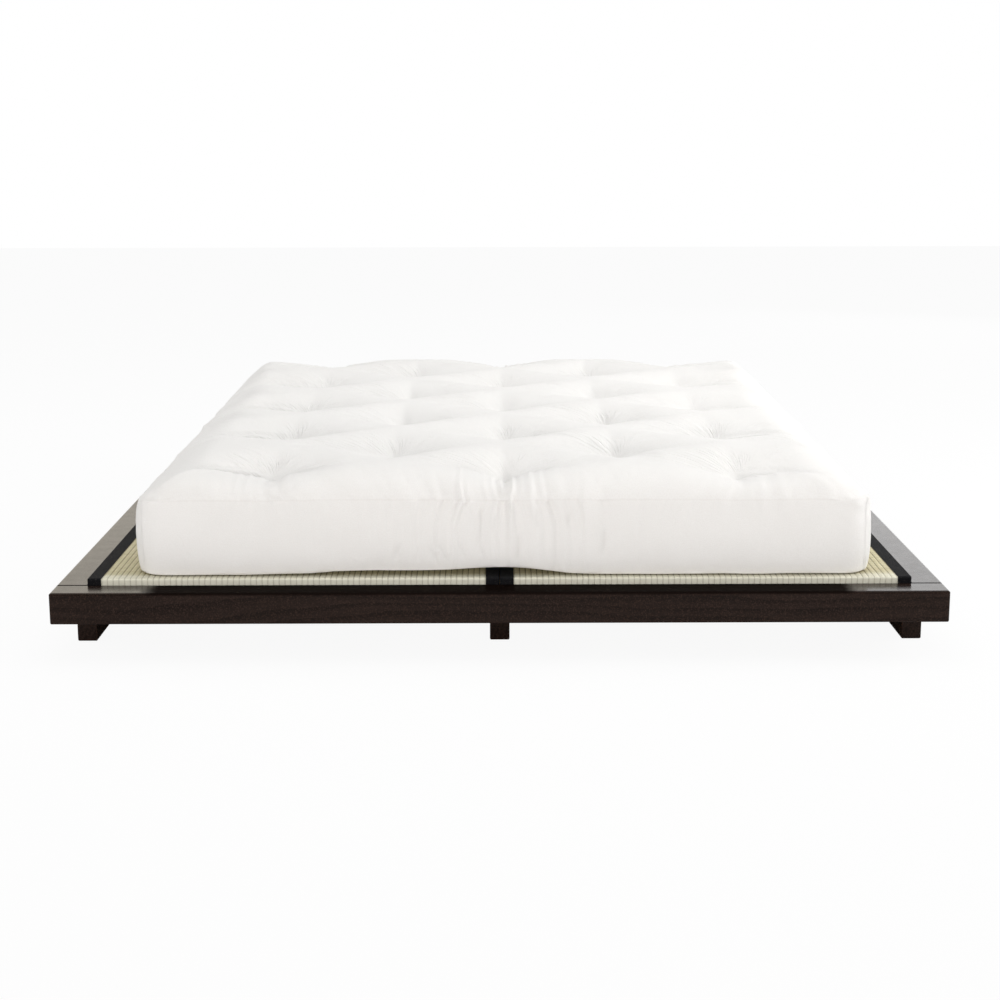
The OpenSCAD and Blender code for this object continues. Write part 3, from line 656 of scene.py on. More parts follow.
@dataclass(frozen=True)
class CottonCase(Finish):
    """Unbleached cotton drill: a close weave with a soft nap, read from the cloth's own map."""

    across: float
    along: float
    cotton: Colour = srgb(246, 245, 243)
    shade: Colour = srgb(238, 236, 233)
    seam: Colour = srgb(214, 208, 202)
    crease_shade_colour: Colour = srgb(52, 51, 44)
    thread: float = 0.0016
    stitch: float = 0.004

    def make(self) -> bpy.types.Material:
        """Makes the material."""
        material, g, shader = self.start()
        cloth = g.add("ShaderNodeUVMap", uv_map="cloth").outputs["UV"]
        weave = Effect.place(g, "plain_weave",
                             {"Vector": cloth, "Warp": self.thread, "Weft": self.thread})
        tone = Effect.place(g, "mottle", {"Vector": cloth, "Size": 0.3})
        slub = g.noise(g.vector("MULTIPLY", cloth, (30.0, 420.0, 1.0)), 1.0, detail=2.0)
        share = g.math("MULTIPLY_ADD", weave["Height"], -0.45, 0.5)
        share = g.math("ADD", share, g.math("MULTIPLY_ADD", slub, 0.5, -0.2))
        colour = g.mix(g.clamp(share), self.cotton, self.shade)
        colour = g.mix(g.span(tone["Broad"], 0.35, 0.75, 0.0, 0.3), colour, self.shade)
        fleck = g.noise(cloth, 430.0, detail=2.0, roughness=0.6)
        colour = g.mix(g.span(fleck, 0.38, 0.68, 0.0, 0.75), colour, self.shade)
        sewn = g.add("ShaderNodeAttribute", attribute_name="sewn").outputs["Fac"]
        run = g.split(cloth)[0]
        stitch = g.math("SINE", g.math("MULTIPLY", run, 2 * math.pi / self.stitch))
        shut = g.math("MULTIPLY", g.span(sewn, 0.35, 0.9), g.span(stitch, -0.6, 0.4, 0.75, 1.0))
        colour = g.mix(g.math("MULTIPLY", shut, 0.13), colour, self.seam)
        # Painted shade: the creases in the wall's front are darkened in colour along their valleys.
        creased = g.add("ShaderNodeAttribute", attribute_name="creased").outputs["Fac"]
        colour = g.mix(g.math("MULTIPLY", creased, 0.93), colour, self.crease_shade_colour)
        g.feed(shader.inputs["Base Color"], colour)
        g.feed(shader.inputs["Roughness"], g.span(slub, 0.3, 0.7, 0.82, 0.92))
        self.fix(shader, {"Specular IOR Level": 0.15, "Sheen Weight": 0.12, "Sheen Roughness": 0.5})
        height = g.math("ADD", weave["Height"], g.math("MULTIPLY", slub, 0.5))
        drawn = g.add("ShaderNodeAttribute", attribute_name="drawn").outputs["Fac"]
        creases = Effect.place(g, "tuft_creases",
                               {"Vector": cloth, "Across": self.across, "Along": self.along})
        crease = g.math("MULTIPLY", creases["Height"], drawn)
        rumple = g.noise(g.vector("MULTIPLY", cloth, (1.0, 0.7, 1.0)), 95.0, detail=3.0, roughness=0.6)
        rumpled = g.bump(g.math("MULTIPLY_ADD", rumple, 0.10, crease), 0.011)
        g.feed(shader.inputs["Normal"], g.bump(height, 0.0003, 0.5, normal=rumpled))
        return material


@dataclass(frozen=True)
class TwistedTwine(Finish):
    """Unbleached cotton twine, twisted from a few strands."""

    light: Colour = srgb(245, 242, 237)
    dark: Colour = srgb(226, 221, 212)

    def make(self) -> bpy.types.Material:
        """Makes the material."""
        material, g, shader = self.start()
        place = self.place(g, 0.6)
        twist = g.math("SINE", g.vector("DOT_PRODUCT", place, (2600.0, 1900.0, 3400.0)))
        fuzz = g.noise(place, 900.0, detail=3.0)
        share = g.math("MULTIPLY_ADD", twist, 0.3, fuzz)
        g.feed(shader.inputs["Base Color"], g.mix(g.span(share, 0.2, 0.9), self.dark, self.light))
        g.feed(shader.inputs["Roughness"], g.span(fuzz, 0.3, 0.7, 0.8, 0.92))
        self.fix(shader, {"Specular IOR Level": 0.2})
        g.feed(shader.inputs["Normal"], g.bump(share, 0.0002, 0.6))
        return material


# ---------------------------------------------------------------- mesh helpers


def new_piece(name: str, shape: bmesh.types.BMesh, material: bpy.types.Material,
              smooth: bool = True) -> bpy.types.Object:
    """Turns a bmesh into an object that sits at the origin.

    Args:
        name: The piece's name.
        shape: The mesh, in metres in the model's own frame. It is freed.
        material: The piece's material.
        smooth: Whether the faces are shaded smooth.

    Returns:
        The new object.
    """
    mesh = bpy.data.meshes.new(name)
    shape.to_mesh(mesh)
    shape.free()
    piece = bpy.data.objects.new(name, mesh)
    bpy.context.scene.collection.objects.link(piece)
    mesh.materials.append(material)
    mesh.polygons.foreach_set("use_smooth", [smooth] * len(mesh.polygons))
    return piece


def places(mesh: bpy.types.Mesh) -> np.ndarray:
    """Reads a mesh's vertices as rows of X, Y and Z."""
    flat = np.zeros(len(mesh.vertices) * 3)
    mesh.vertices.foreach_get("co", flat)
    return flat.reshape(-1, 3)


def put(mesh: bpy.types.Mesh, rows: np.ndarray) -> None:
    """Writes rows of X, Y and Z back to a mesh's vertices."""
    mesh.vertices.foreach_set("co", rows.astype(np.float32).ravel())
    mesh.update()


def smooth_step(share: np.ndarray) -> np.ndarray:
    """Bends a straight rise from 0 to 1 so that both its ends ease in."""
    return share * share * (3.0 - 2.0 * share)


def paint(mesh: bpy.types.Mesh, name: str, values: np.ndarray) -> None:
    """Keeps a number for each vertex as a named attribute."""
    layer = mesh.attributes.new(name, "FLOAT", "POINT")
    layer.data.foreach_set("value", values.astype(np.float32))


def is_top(level: np.ndarray) -> np.ndarray:
    """Says which vertices are on the top panel."""
    return level > 0.999


def is_bottom(level: np.ndarray) -> np.ndarray:
    """Says which vertices are on the bottom panel."""
    return level < 0.001


def ease(value: np.ndarray, low: float, high: float) -> np.ndarray:
    """Rises smoothly from 0 at low to 1 at high."""
    return smooth_step(np.clip((value - low) / (high - low), 0.0, 1.0))


def bell(off: np.ndarray, width: float) -> np.ndarray:
    """Falls off on both sides of a line, from 1 on it."""
    return np.exp(-(off / width) ** 2)


class Ripple:
    """A smooth random wave along one line, the same on every run."""

    count: int = 4096

    def __init__(self, seed: int, step: float) -> None:
        """Draws the wave's knots.

        Args:
            seed: Which wave to draw.
            step: The distance between its knots, in metres.
        """
        self.step = step
        self.knots = np.random.default_rng(seed).uniform(-1.0, 1.0, self.count)

    def at(self, run: np.ndarray) -> np.ndarray:
        """Gives the wave's height, from -1 to 1, at each distance along the line."""
        place = run / self.step + self.count / 4
        before = np.floor(place).astype(int)
        share = smooth_step(place - before)
        first = self.knots[before % self.count]
        return first + (self.knots[(before + 1) % self.count] - first) * share


# ---------------------------------------------------------------- the mattress


@dataclass(frozen=True)
class WallCrease:
    """One crease down the front of the wall, with its places in metres.

    It lies across from the mattress's middle, and runs from start to end, both measured down from
    the upper seam. It drifts sideways by its lean for each metre down, and its depth is a share.
    """

    across: float
    start: float
    end: float
    lean: float
    depth: float


@dataclass
class TuftedMattress:
    """The mattress: a cotton case over batting, sewn round its edges and tied through at its tufts."""

    # The grid: cells down the middle, between columns and rows of tufts, outside them, over the
    # crown and down the wall.
    middle_cells: int = 30
    column_cells: int = 22
    row_cells: int = 18
    edge_cells: tuple[int, int] = (20, 11)
    crown_cells: int = 6
    wall_cells: int = 12

    # The stuffed section: a pair of rolls gives the front's reach and the rear's, and a pair of
    # bellies the sides' and the ends'. An arch is a place across, a width and a share.
    crown: float = 0.060
    side_roll: tuple[float, float] = (0.135, 0.085)
    end_roll: tuple[float, float] = (0.120, 0.090)
    slope: float = 1.45
    outer_stretch: float = 1.9
    belly: tuple[float, float] = (0.006, 0.0012)
    hem_height: float = 0.0045
    lean: float = 0.001
    arch: float = 0.012
    arch_reach: float = 0.12
    arches: tuple[tuple[float, float, float], ...] = ((0.0, 0.11, 1.0), (-0.28, 0.2, 0.45))
    hem_wave: float = 0.0009

    # The sewing, and how far in from the outline the wall and the drawn cloth reach.
    seam_cell: float = 0.0022
    seam_reach: float = 0.0014
    seam_depth: float = 0.0004
    wall_depth: float = 0.02
    drawn_from: tuple[float, float] = (0.02, 0.11)

    # What the twine's pull does to the cloth: gathers, creases and folds. The end's pull is given
    # left and right of the middle, and its ties' shares from left to right.
    gather_height: float = 0.0058
    end_pull: tuple[float, float] = (0.34, 0.16)
    side_pull: float = 0.10
    tie_pull: float = 1.3
    tie_shares: tuple[float, float, float] = (0.55, 1.0, 0.3)
    tie_reach: float = 0.13
    fan_reach: float = 0.16
    crease_height: float = 0.0020
    fold_depth: float = 0.0095
    crease_depth: float = 0.0034
    crease_shade: float = 0.09
    creases: tuple[WallCrease, ...] = (
        WallCrease(-0.0495, 0.015, 0.095, -0.06, 1.0), WallCrease(-0.055, 0.092, 0.132, 0.35, 0.7),
        WallCrease(0.0320, 0.075, 0.135, -0.05, 0.9), WallCrease(0.1425, 0.028, 0.058, -0.08, 0.6),
        WallCrease(0.2185, 0.066, 0.118, -0.04, 0.7), WallCrease(-0.162, 0.102, 0.136, 0.45, 0.7),
        WallCrease(-0.146, 0.096, 0.136, 0.60, 0.7), WallCrease(-0.099, 0.090, 0.128, 0.40, 0.6),
        WallCrease(-0.2275, 0.096, 0.130, -0.35, 0.6), WallCrease(-0.018, 0.030, 0.075, -0.15, 0.5),
        WallCrease(0.068, 0.020, 0.062, 0.12, 0.6))
    fine_crease: float = 0.0035
    broad_crease: float = 0.006

    # The filling's unevenness, and the hollow at each tuft.
    lump_height: float = 0.0009
    crumple_height: float = 0.0024
    crest_over: float = 0.0050
    knot_height: float = 0.0105
    knot_sink: float = 0.003
    tuft_reach: float = 0.05
    bow: float = 1.80
    pinch: float = 0.004
    pinch_reach: float = 0.030

    # The swelling: how far round a knot and above the floor the cloth is held, caps on how far it
    # moves elsewhere, and the cloth itself.
    knot_reach: float = 0.004
    rest_reach: float = 0.005
    swell_cap: float = 0.0025
    wall_cap: float = 0.004
    cap_reach: float = 0.07
    fullness: float = 0.02
    pressure: float = 3.0
    tension: float = 14.0
    bending: float = 0.6
    frames: int = 18

    def __post_init__(self) -> None:
        """Reads the mattress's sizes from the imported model."""
        low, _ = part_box("futon_bottom_panel")
        wall_low, wall_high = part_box("futon_boxing")
        self.half = np.array([(wall_high.x - wall_low.x) / 2, (wall_high.y - wall_low.y) / 2])
        self.centre = np.array([(wall_high.x + wall_low.x) / 2, (wall_high.y + wall_low.y) / 2])
        _, panel_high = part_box("futon_top_panel")
        _, knot_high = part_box("futon_tufts")
        self.floor = low.z
        self.crest = panel_high.z + self.crest_over
        self.tie = knot_high.z - self.knot_height
        self.low_seam = self.floor + self.hem_height
        self.high_seam = wall_high.z
        self.tufts = self.tie_places()

    def tie_heights(self) -> np.ndarray:
        """Gives how high the twine holds the top panel at each tuft."""
        drawn_to = self.tie - self.pinch - self.high_seam
        return self.high_seam + drawn_to * self.rise(self.tufts) - self.knot_sink

    def tie_places(self) -> np.ndarray:
        """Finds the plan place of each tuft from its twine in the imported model.

        Returns:
            Rows of X and Y, sorted from front to back and then from left to right.
        """
        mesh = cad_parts["futon_tufts"].data
        rows = places(mesh)[:, :2]
        spots: list[np.ndarray] = []
        for spot in rows:
            if not any(np.hypot(*(spot - known)) < self.tuft_reach for known in spots):
                spots.append(spot)
        centres = []
        for known in spots:
            near = rows[np.hypot(*(rows - known).T) < self.tuft_reach]
            centres.append((near.min(axis=0) + near.max(axis=0)) / 2)
        return np.array(sorted(centres, key=lambda spot: (round(spot[1], 2), spot[0])))

    def cells(self) -> tuple[int, int]:
        """Counts the grid's cells across and along, so that every tuft falls on a corner."""
        rows = round((self.tufts[:, 1].max() - self.centre[1]) / self.row_pitch())
        return (2 * (self.middle_cells + self.column_cells + self.edge_cells[0]),
                2 * (rows * self.row_cells + self.edge_cells[1]))

    def column_pitch(self) -> float:
        """Gives the distance across between one row's tufts and the next row's."""
        across = np.unique(self.tufts[:, 0].round(3))
        return float(across[1] - across[0])

    def row_pitch(self) -> float:
        """Gives the distance along between rows of tufts."""
        along = np.unique(self.tufts[:, 1].round(3))
        return float(along[1] - along[0])

    def block(self) -> bmesh.types.BMesh:
        """Makes the closed form as a plain block: two panels of cells and a wall of rings between."""
        across, along = self.cells()
        shape = bmesh.new()
        bmesh.ops.create_grid(shape, x_segments=across, y_segments=along, size=1.0)
        bottom = list(shape.faces)
        grown = bmesh.ops.extrude_face_region(shape, geom=bottom, use_keep_orig=True)
        raised = [part for part in grown["geom"] if isinstance(part, bmesh.types.BMVert)]
        bmesh.ops.translate(shape, verts=raised, vec=(0.0, 0.0, 1.0))
        upright = [edge for edge in shape.edges
                   if abs(edge.verts[0].co.z - edge.verts[1].co.z) > 0.5]
        bmesh.ops.subdivide_edges(shape, edges=upright, cuts=self.wall_cells - 1, use_grid_fill=True)
        bmesh.ops.recalc_face_normals(shape, faces=shape.faces)
        return shape

    def shape_block(self, rows: np.ndarray) -> np.ndarray:
        """Moves the plain block's vertices to the stuffed form.

        Args:
            rows: The plain block's vertices, from -1 to 1 across and along, and 0 to 1 in height.

        Returns:
            The vertices in metres, in the model's frame.
        """
        across, along = self.cells()
        steps = (rows[:, :2] + 1.0) / 2 * np.array([across, along])
        from_edge = np.minimum(steps, np.array([across, along]) - steps)
        at = [0.0, 1.0, float(self.crown_cells)]
        inner = np.interp(from_edge, at, [1.0, 1.0 - self.seam_cell / self.crown, 0.0])
        round_out = inner * np.sqrt(1.0 - inner[:, ::-1] ** 2 / 2)
        out = np.hypot(*round_out.T)
        way = round_out / np.maximum(out, 1e-9)[:, None] * np.sign(rows[:, :2])
        core = np.clip(self.lines(steps, across, along), -(self.half - self.crown),
                       self.half - self.crown)
        level = rows[:, 2]
        cell = 1.0 / self.wall_cells
        share = self.seam_cell / (self.high_seam - self.low_seam)
        level = np.interp(level, [0.0, cell, 1.0 - cell, 1.0], [0.0, share, 1.0 - share, 1.0])
        reach, height = self.section(out, level)
        reach += np.sin(level ** 0.85 * math.pi) * (np.abs(way) @ np.array(self.belly))
        plan = core + way * reach[:, None] + self.centre
        formed = np.column_stack([plan, height])
        on_top = is_top(level)
        formed[on_top, 2] = self.crest_height(formed[on_top])
        return self.slump(formed)

    def slump(self, formed: np.ndarray) -> np.ndarray:
        """Draws the hem in under the corners and lifts it off the mats along parts of the ends."""
        from_middle = formed[:, :2] - self.centre
        low = np.clip((self.high_seam - formed[:, 2]) / (self.high_seam - self.floor), 0.0, 1.0)
        corner = np.prod(ease(np.abs(from_middle) / self.half, 0.6, 1.0), axis=1)
        leaning = formed.copy()
        leaning[:, :2] -= np.sign(from_middle) * (self.lean * low ** 2 * corner)[:, None]
        near_end = ease(np.abs(from_middle[:, 1]), self.half[1] - self.arch_reach, self.half[1])
        lifted = sum(share * bell(from_middle[:, 0] - place, width)
                     for place, width, share in self.arches)
        leaning[:, 2] += self.arch * lifted * near_end * low
        edge = 1.0 - ease(self.inside(formed), 0.0, 0.02)
        leaning[:, 2] += self.hem_wave * Ripple(31, 0.07).at(formed[:, 0]) * edge * low ** 8
        return leaning

    def lines(self, steps: np.ndarray, across: int, along: int) -> np.ndarray:
        """Spaces the grid's lines so that tufts fall on them, closer together down the middle.

        Args:
            steps: How many cells each vertex is from the left and from the front.
            across: The count of cells across.
            along: The count of cells along.

        Returns:
            Each vertex's distance from the mattress's middle, across and along.
        """
        inner = self.half - self.crown
        outer = np.abs(self.tufts - self.centre).max(axis=0)
        near = self.column_pitch()
        marks = ((0, self.crown_cells, self.edge_cells[0], across // 2 - self.middle_cells),
                 (0, self.crown_cells, self.edge_cells[1]))
        spots = ((inner[0], inner[0], outer[0], near), (inner[1], inner[1], outer[1]))
        spaced = []
        for axis, count in enumerate((across, along)):
            at = [*marks[axis], count / 2, *(count - mark for mark in reversed(marks[axis]))]
            to = [*(-spot for spot in spots[axis]), 0.0, *reversed(spots[axis])]
            spaced.append(np.interp(steps[:, axis], at, to))
        return np.column_stack(spaced)

    def section(self, out: np.ndarray, level: np.ndarray) -> tuple[np.ndarray, np.ndarray]:
        """Gives the form's upright section, all but the height of the top panel.

        Args:
            out: How far out a panel's vertex is, from 0 where the crown starts to 1 at the seam.
            level: 0 on the bottom panel, 1 on the top panel, and between on the wall.

        Returns:
            How far each vertex stands out from the crown's start, and its height.
        """
        steps = [0.0, 0.17, 0.33, 0.5, 0.67, 0.83, 1.0]
        spread = [0.0, 0.30, 0.60, 0.82, 0.94, 0.985, 1.0]
        lift = [0.0, 0.0008, 0.0010, 0.0010, 0.0012, 0.0022, self.hem_height]
        bottom_out = self.crown * np.interp(out, steps, spread)
        bottom_height = self.floor + np.interp(out, steps, lift)
        wall_height = self.low_seam + (self.high_seam - self.low_seam) * level
        under = np.where(is_bottom(level), bottom_out, self.crown)
        reach = np.where(is_top(level), self.crown * out, under)
        return reach, np.where(is_bottom(level), bottom_height, wall_height)

    def nearness(self, rows: np.ndarray) -> np.ndarray:
        """Gives each place's share of the way from the nearest tuft, 0, to the ridges round it, 1."""
        pitch = np.array([self.column_pitch(), self.row_pitch()])
        share = np.full(len(rows), 9.0)
        for spot in self.tufts:
            gap = (rows[:, :2] - spot) / pitch
            if self.outermost(spot):
                outward = gap[:, 0] * np.sign(spot[0] - self.centre[0]) > 0.0
                gap[outward, 0] /= self.outer_stretch
            share = np.minimum(share, np.abs(gap).sum(axis=1))
        return share

    def outermost(self, spot: np.ndarray) -> bool:
        """Says whether a tuft is one of those nearest the sides."""
        farthest = np.abs(self.tufts[:, 0] - self.centre[0]).max()
        return abs(spot[0] - self.centre[0]) > farthest - self.tuft_reach

    def in_front_row(self, spots: np.ndarray) -> np.ndarray:
        """Says which tufts, given as rows of X and Y, are in the row nearest the front."""
        return spots[..., 1] < self.tufts[:, 1].min() + 0.01

    def rise(self, rows: np.ndarray) -> np.ndarray:
        """Gives how much of the way up from the seam each place of the top has reached."""
        at = rows[:, :2] - self.centre
        back = ease(at[:, 1] / self.half[1], 0.1, 0.9)
        rolls = [front + (rear - front) * back for front, rear in (self.side_roll, self.end_roll)]
        near = np.clip(1.0 - (self.half - np.abs(at)) / np.column_stack(rolls), 0.0, 1.0) ** 3
        past = np.minimum(near.sum(axis=1) ** (1 / 3), 1.0)
        at_end = near[:, 1] / np.maximum(near.sum(axis=1), 1e-9)
        return 1.0 - past ** self.slope + at_end * (np.sqrt(1.0 - past ** 2) + past ** self.slope - 1.0)

    def crest_height(self, rows: np.ndarray) -> np.ndarray:
        """Gives the top's height: a roll in from the seams, and a four-sided valley round each tuft."""
        share = np.clip(self.nearness(rows), 0.0, 1.0)
        puff = 1.0 - (1.0 - share) ** self.bow
        deep = self.pinch / (self.crest - self.tie)
        for spot in self.tufts:
            gap = np.hypot(*(rows[:, :2] - spot).T)
            puff -= deep * np.clip(1.0 - gap / self.pinch_reach, 0.0, 1.0) ** 2
        peak = self.tie + (self.crest - self.tie) * puff
        return self.high_seam + (peak - self.high_seam) * self.rise(rows)

    def swell(self, piece: bpy.types.Object, held: np.ndarray) -> np.ndarray:
        """Fills the case: cloth under pressure, held at its tufts, with fullness to spare.

        Args:
            piece: The case's object.
            held: How firmly each vertex is held, from 0 to 1.

        Returns:
            Where the vertices end up.
        """
        ties = piece.vertex_groups.new(name="ties")
        for index in np.nonzero(held > 0.0)[0]:
            ties.add([int(index)], float(held[index]), "REPLACE")
        cloth = piece.modifiers.new("filling", "CLOTH")
        settings = cloth.settings
        settings.quality = 5
        settings.mass = 0.35
        settings.tension_stiffness = self.tension
        settings.compression_stiffness = self.tension
        settings.shear_stiffness = 5.0
        settings.bending_stiffness = self.bending
        settings.air_damping = 2.0
        settings.use_pressure = True
        settings.uniform_pressure_force = self.pressure
        settings.vertex_group_mass = "ties"
        settings.shrink_min = -self.fullness
        settings.effector_weights.gravity = 0.0
        cloth.collision_settings.use_collision = False
        cloth.point_cache.frame_start = 1
        cloth.point_cache.frame_end = self.frames
        scene = bpy.context.scene
        for step in range(1, self.frames + 1):
            scene.frame_set(step)
        settled = piece.evaluated_get(bpy.context.evaluated_depsgraph_get())
        rows = places(settled.data)
        piece.modifiers.remove(cloth)
        scene.frame_set(1)
        piece.vertex_groups.clear()
        return rows

    def build(self, material: bpy.types.Material) -> bpy.types.Object:
        """Makes the stuffed case.

        Args:
            material: The case's cotton.

        Returns:
            The finished piece, riding on the mattress.
        """
        shape = self.block()
        rows = np.array([vertex.co[:] for vertex in shape.verts])
        level = rows[:, 2].copy()
        formed = self.shape_block(rows)
        piece = new_piece("mattress", shape, material)
        put(piece.data, formed)
        self.map_cloth(piece.data, formed, level)
        swollen = self.swell(piece, self.holding(formed, level))
        put(piece.data, self.settle(formed, swollen, level))
        self.refine(piece, formed, level)
        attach(piece, "mattress")
        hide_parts("futon_top_panel", "futon_boxing", "futon_bottom_panel",
                    "futon_upper_batting", "futon_firm_layer", "futon_lower_batting")
        return piece

    def settle(self, formed: np.ndarray, swollen: np.ndarray, level: np.ndarray) -> np.ndarray:
        """Caps how far the cloth moved from the stuffed form.

        Args:
            formed: The form that was swollen.
            swollen: Where the swollen cloth ended up.
            level: 0 on the bottom panel, 1 on the top panel, and between on the wall.

        Returns:
            The settled vertices.
        """
        move = swollen - formed
        far = np.linalg.norm(move, axis=1)
        inward = ease(self.inside(formed), 0.0, self.cap_reach)
        give = self.wall_cap + (self.swell_cap - self.wall_cap) * inward
        give = np.where(is_top(level), give, self.wall_cap)
        kept = give * np.tanh(far / give) / np.maximum(far, 1e-9)
        return formed + move * kept[:, None]

    def halve_cells(self, piece: bpy.types.Object, formed: np.ndarray,
                    level: np.ndarray) -> tuple[np.ndarray, np.ndarray]:
        """Halves the cells of the case's mesh.

        Args:
            piece: The case's object, whose mesh is replaced.
            formed: The stuffed form before it was swollen.
            level: 0 on the bottom panel, 1 on the top panel, and between on the wall.

        Returns:
            The new vertices' places in the stuffed form, and their levels.
        """
        coarse = piece.data
        layer = coarse.attributes.new("formed", "FLOAT_VECTOR", "POINT")
        layer.data.foreach_set("vector", formed.astype(np.float32).ravel())
        paint(coarse, "level", level)
        finer = piece.modifiers.new("finer", "SUBSURF")
        finer.levels = 1
        finer.render_levels = 1
        graph = bpy.context.evaluated_depsgraph_get()
        fine = bpy.data.meshes.new_from_object(piece.evaluated_get(graph),
                                               preserve_all_data_layers=True, depsgraph=graph)
        piece.modifiers.remove(finer)
        piece.data = fine
        bpy.data.meshes.remove(coarse)
        fine.name = piece.name
        plan = np.zeros(len(fine.vertices) * 3)
        fine.attributes["formed"].data.foreach_get("vector", plan)
        height = np.zeros(len(fine.vertices))
        fine.attributes["level"].data.foreach_get("value", height)
        for name in ("formed", "level"):
            fine.attributes.remove(fine.attributes[name])
        return plan.reshape(-1, 3), height

    def refine(self, piece: bpy.types.Object, formed: np.ndarray, level: np.ndarray) -> None:
        """Halves the cells, then sews the seams and works in the gathers, folds and lumps.

        Args:
            piece: The case's object, whose mesh is replaced.
            formed: The stuffed form before it was swollen.
            level: 0 on the bottom panel, 1 on the top panel, and between on the wall.
        """
        plan, height = self.halve_cells(piece, formed, level)
        fine = piece.data
        facing = np.zeros(len(fine.vertices) * 3)
        fine.vertices.foreach_get("normal", facing)
        creased = self.wall_creases(plan, height)
        out = self.gathers(plan, height) + self.folds(plan, height) + self.lumps(plan, height) + creased
        near_seam = sum(bell(plan[:, 2] - seam, self.seam_reach) for seam in (self.high_seam, self.low_seam))
        near_seam *= self.inside(plan) < self.wall_depth
        out -= self.seam_depth * near_seam
        put(fine, places(fine) + facing.reshape(-1, 3) * out[:, None])
        paint(fine, "sewn", near_seam)
        paint(fine, "drawn", is_top(height) * ease(self.inside(plan), *self.drawn_from))
        # Painted shade in the wall creases' valleys, kept as the creased attribute.
        paint(fine, "creased", self.crease_shade * np.clip(-creased / self.crease_depth, 0.0, 1.0))

    def gathers(self, plan: np.ndarray, level: np.ndarray) -> np.ndarray:
        """Puckers the cloth over and under the upper seam, most of all below the end tufts.

        Args:
            plan: Each vertex's place in the stuffed form.
            level: 0 on the bottom panel, 1 on the top panel, and between on the wall.

        Returns:
            How far each vertex stands out.
        """
        at = plan[:, :2] - self.centre
        at_end = ease(np.abs(at[:, 1]) / self.half[1] - np.abs(at[:, 0]) / self.half[0], -0.02, 0.06)
        drop = self.high_seam - plan[:, 2]
        deep = drop / (self.high_seam - self.floor)
        over = np.clip(1.0 + drop / (self.crest - self.high_seam), 0.0, 1.0)
        fan = np.where(at_end > 0.5, at[:, 0], at[:, 1] + 5.0)
        ties = self.tufts[self.in_front_row(self.tufts), 0] - self.centre[0]
        pull = np.where(at[:, 0] < 0.05, *self.end_pull) * at_end + self.side_pull * (1.0 - at_end)
        # Gathers crowd together round each front tuft's pull, and spread out below the seam.
        narrow = 0.50 + 0.50 * np.clip((drop + 0.055) / 0.11, 0.0, 1.0)
        for place, share in zip(ties, self.tie_shares):
            near = bell(at[:, 0] - place, self.tie_reach) * at_end
            pull += self.tie_pull * share * near
            fan += near * (at[:, 0] - place) * (1.0 / narrow - 1.0)
        fan += 0.05 * (over - 0.5) * np.where(at[:, 0] < 0.0, -1.0, 0.6) * at_end
        crimp = np.abs(Ripple(19, 0.015).at(fan)) - 0.4
        broad = Ripple(12, 0.034).at(fan)
        # They die out towards the crest and down the wall, but run on to the hem in an end's middle.
        above = np.sin(np.clip(over * 1.25, 0.0, 1.0) * math.pi / 2) ** 1.5
        under_seam = plan[:, 2] < self.high_seam
        above *= ~under_seam * (over > 0.0)
        below = bell(deep, 0.25) * 0.8 * under_seam
        middle = bell(at[:, 0] - 0.02, 0.23) * at_end
        long_share = 1.5 * middle * np.clip(1.0 - deep, 0.0, 1.0) ** 0.3 * under_seam
        reach = pull * (above + below) + long_share
        near_side = self.inside(plan) < self.end_roll[0]
        return self.gather_height * reach * (crimp + 0.5 * broad) * near_side * ~is_bottom(level)

    def wall_creases(self, plan: np.ndarray, level: np.ndarray) -> np.ndarray:
        """Works single creases into the front of the wall, where the middle tuft's pull runs out.

        Args:
            plan: Each vertex's place in the stuffed form.
            level: 0 on the bottom panel, 1 on the top panel, and between on the wall.

        Returns:
            How far each vertex stands out.
        """
        at = plan[:, :2] - self.centre
        on_front = (at[:, 1] < -self.half[1] + self.wall_depth) * ~is_bottom(level) * ~is_top(level)
        drop = self.high_seam - plan[:, 2]
        out = np.zeros(len(plan))
        for crease in self.creases:
            width = self.fine_crease if abs(crease.across) < self.tie_reach else self.broad_crease
            off = at[:, 0] - crease.across - crease.lean * (drop - crease.start)
            begun = ease(drop, crease.start - 0.006, crease.start + 0.012)
            done = ease(drop, crease.end - 0.012, crease.end + 0.006)
            line = 0.6 * bell(off - 2.0 * width, 1.4 * width) - bell(off, width)
            out += self.crease_depth * crease.depth * (begun * (1.0 - done)) * line
        return out * on_front

    def folds(self, plan: np.ndarray, level: np.ndarray) -> np.ndarray:
        """Works creases into the top: short ones that fan out of each tuft, and long ones to the sides.

        Args:
            plan: Each vertex's place in the stuffed form.
            level: 0 on the bottom panel, 1 on the top panel, and between on the wall.

        Returns:
            How far each vertex stands out.
        """
        out = np.zeros(len(plan))
        top = np.nonzero(is_top(level))[0]
        draw = np.random.default_rng(7)
        for number, spot in enumerate(self.tufts):
            gap = plan[top, :2] - spot
            far = np.hypot(*gap.T)
            close = far < self.fan_reach
            near, gap, far = top[close], gap[close], far[close]
            # Short creases fan out of the tuft.
            turn = np.arctan2(gap[:, 1], gap[:, 0])
            wave = np.abs(Ripple(100 + number, 0.42).at(turn + 0.25 * np.sin(far * 40.0))) - 0.45
            fade = np.clip(far / 0.02, 0.0, 1.0) * np.clip(1.0 - far / self.fan_reach, 0.0, 1.0) ** 1.3
            out[near] += self.crease_height * wave * fade * np.minimum(far / 0.05, 1.0)
            bend, reach, lift = draw.uniform(0.15, 0.6), draw.uniform(0.19, 0.28), draw.uniform(0.0, 1.0)
            side = np.sign(spot[0] - self.centre[0])
            if not self.outermost(spot):
                continue
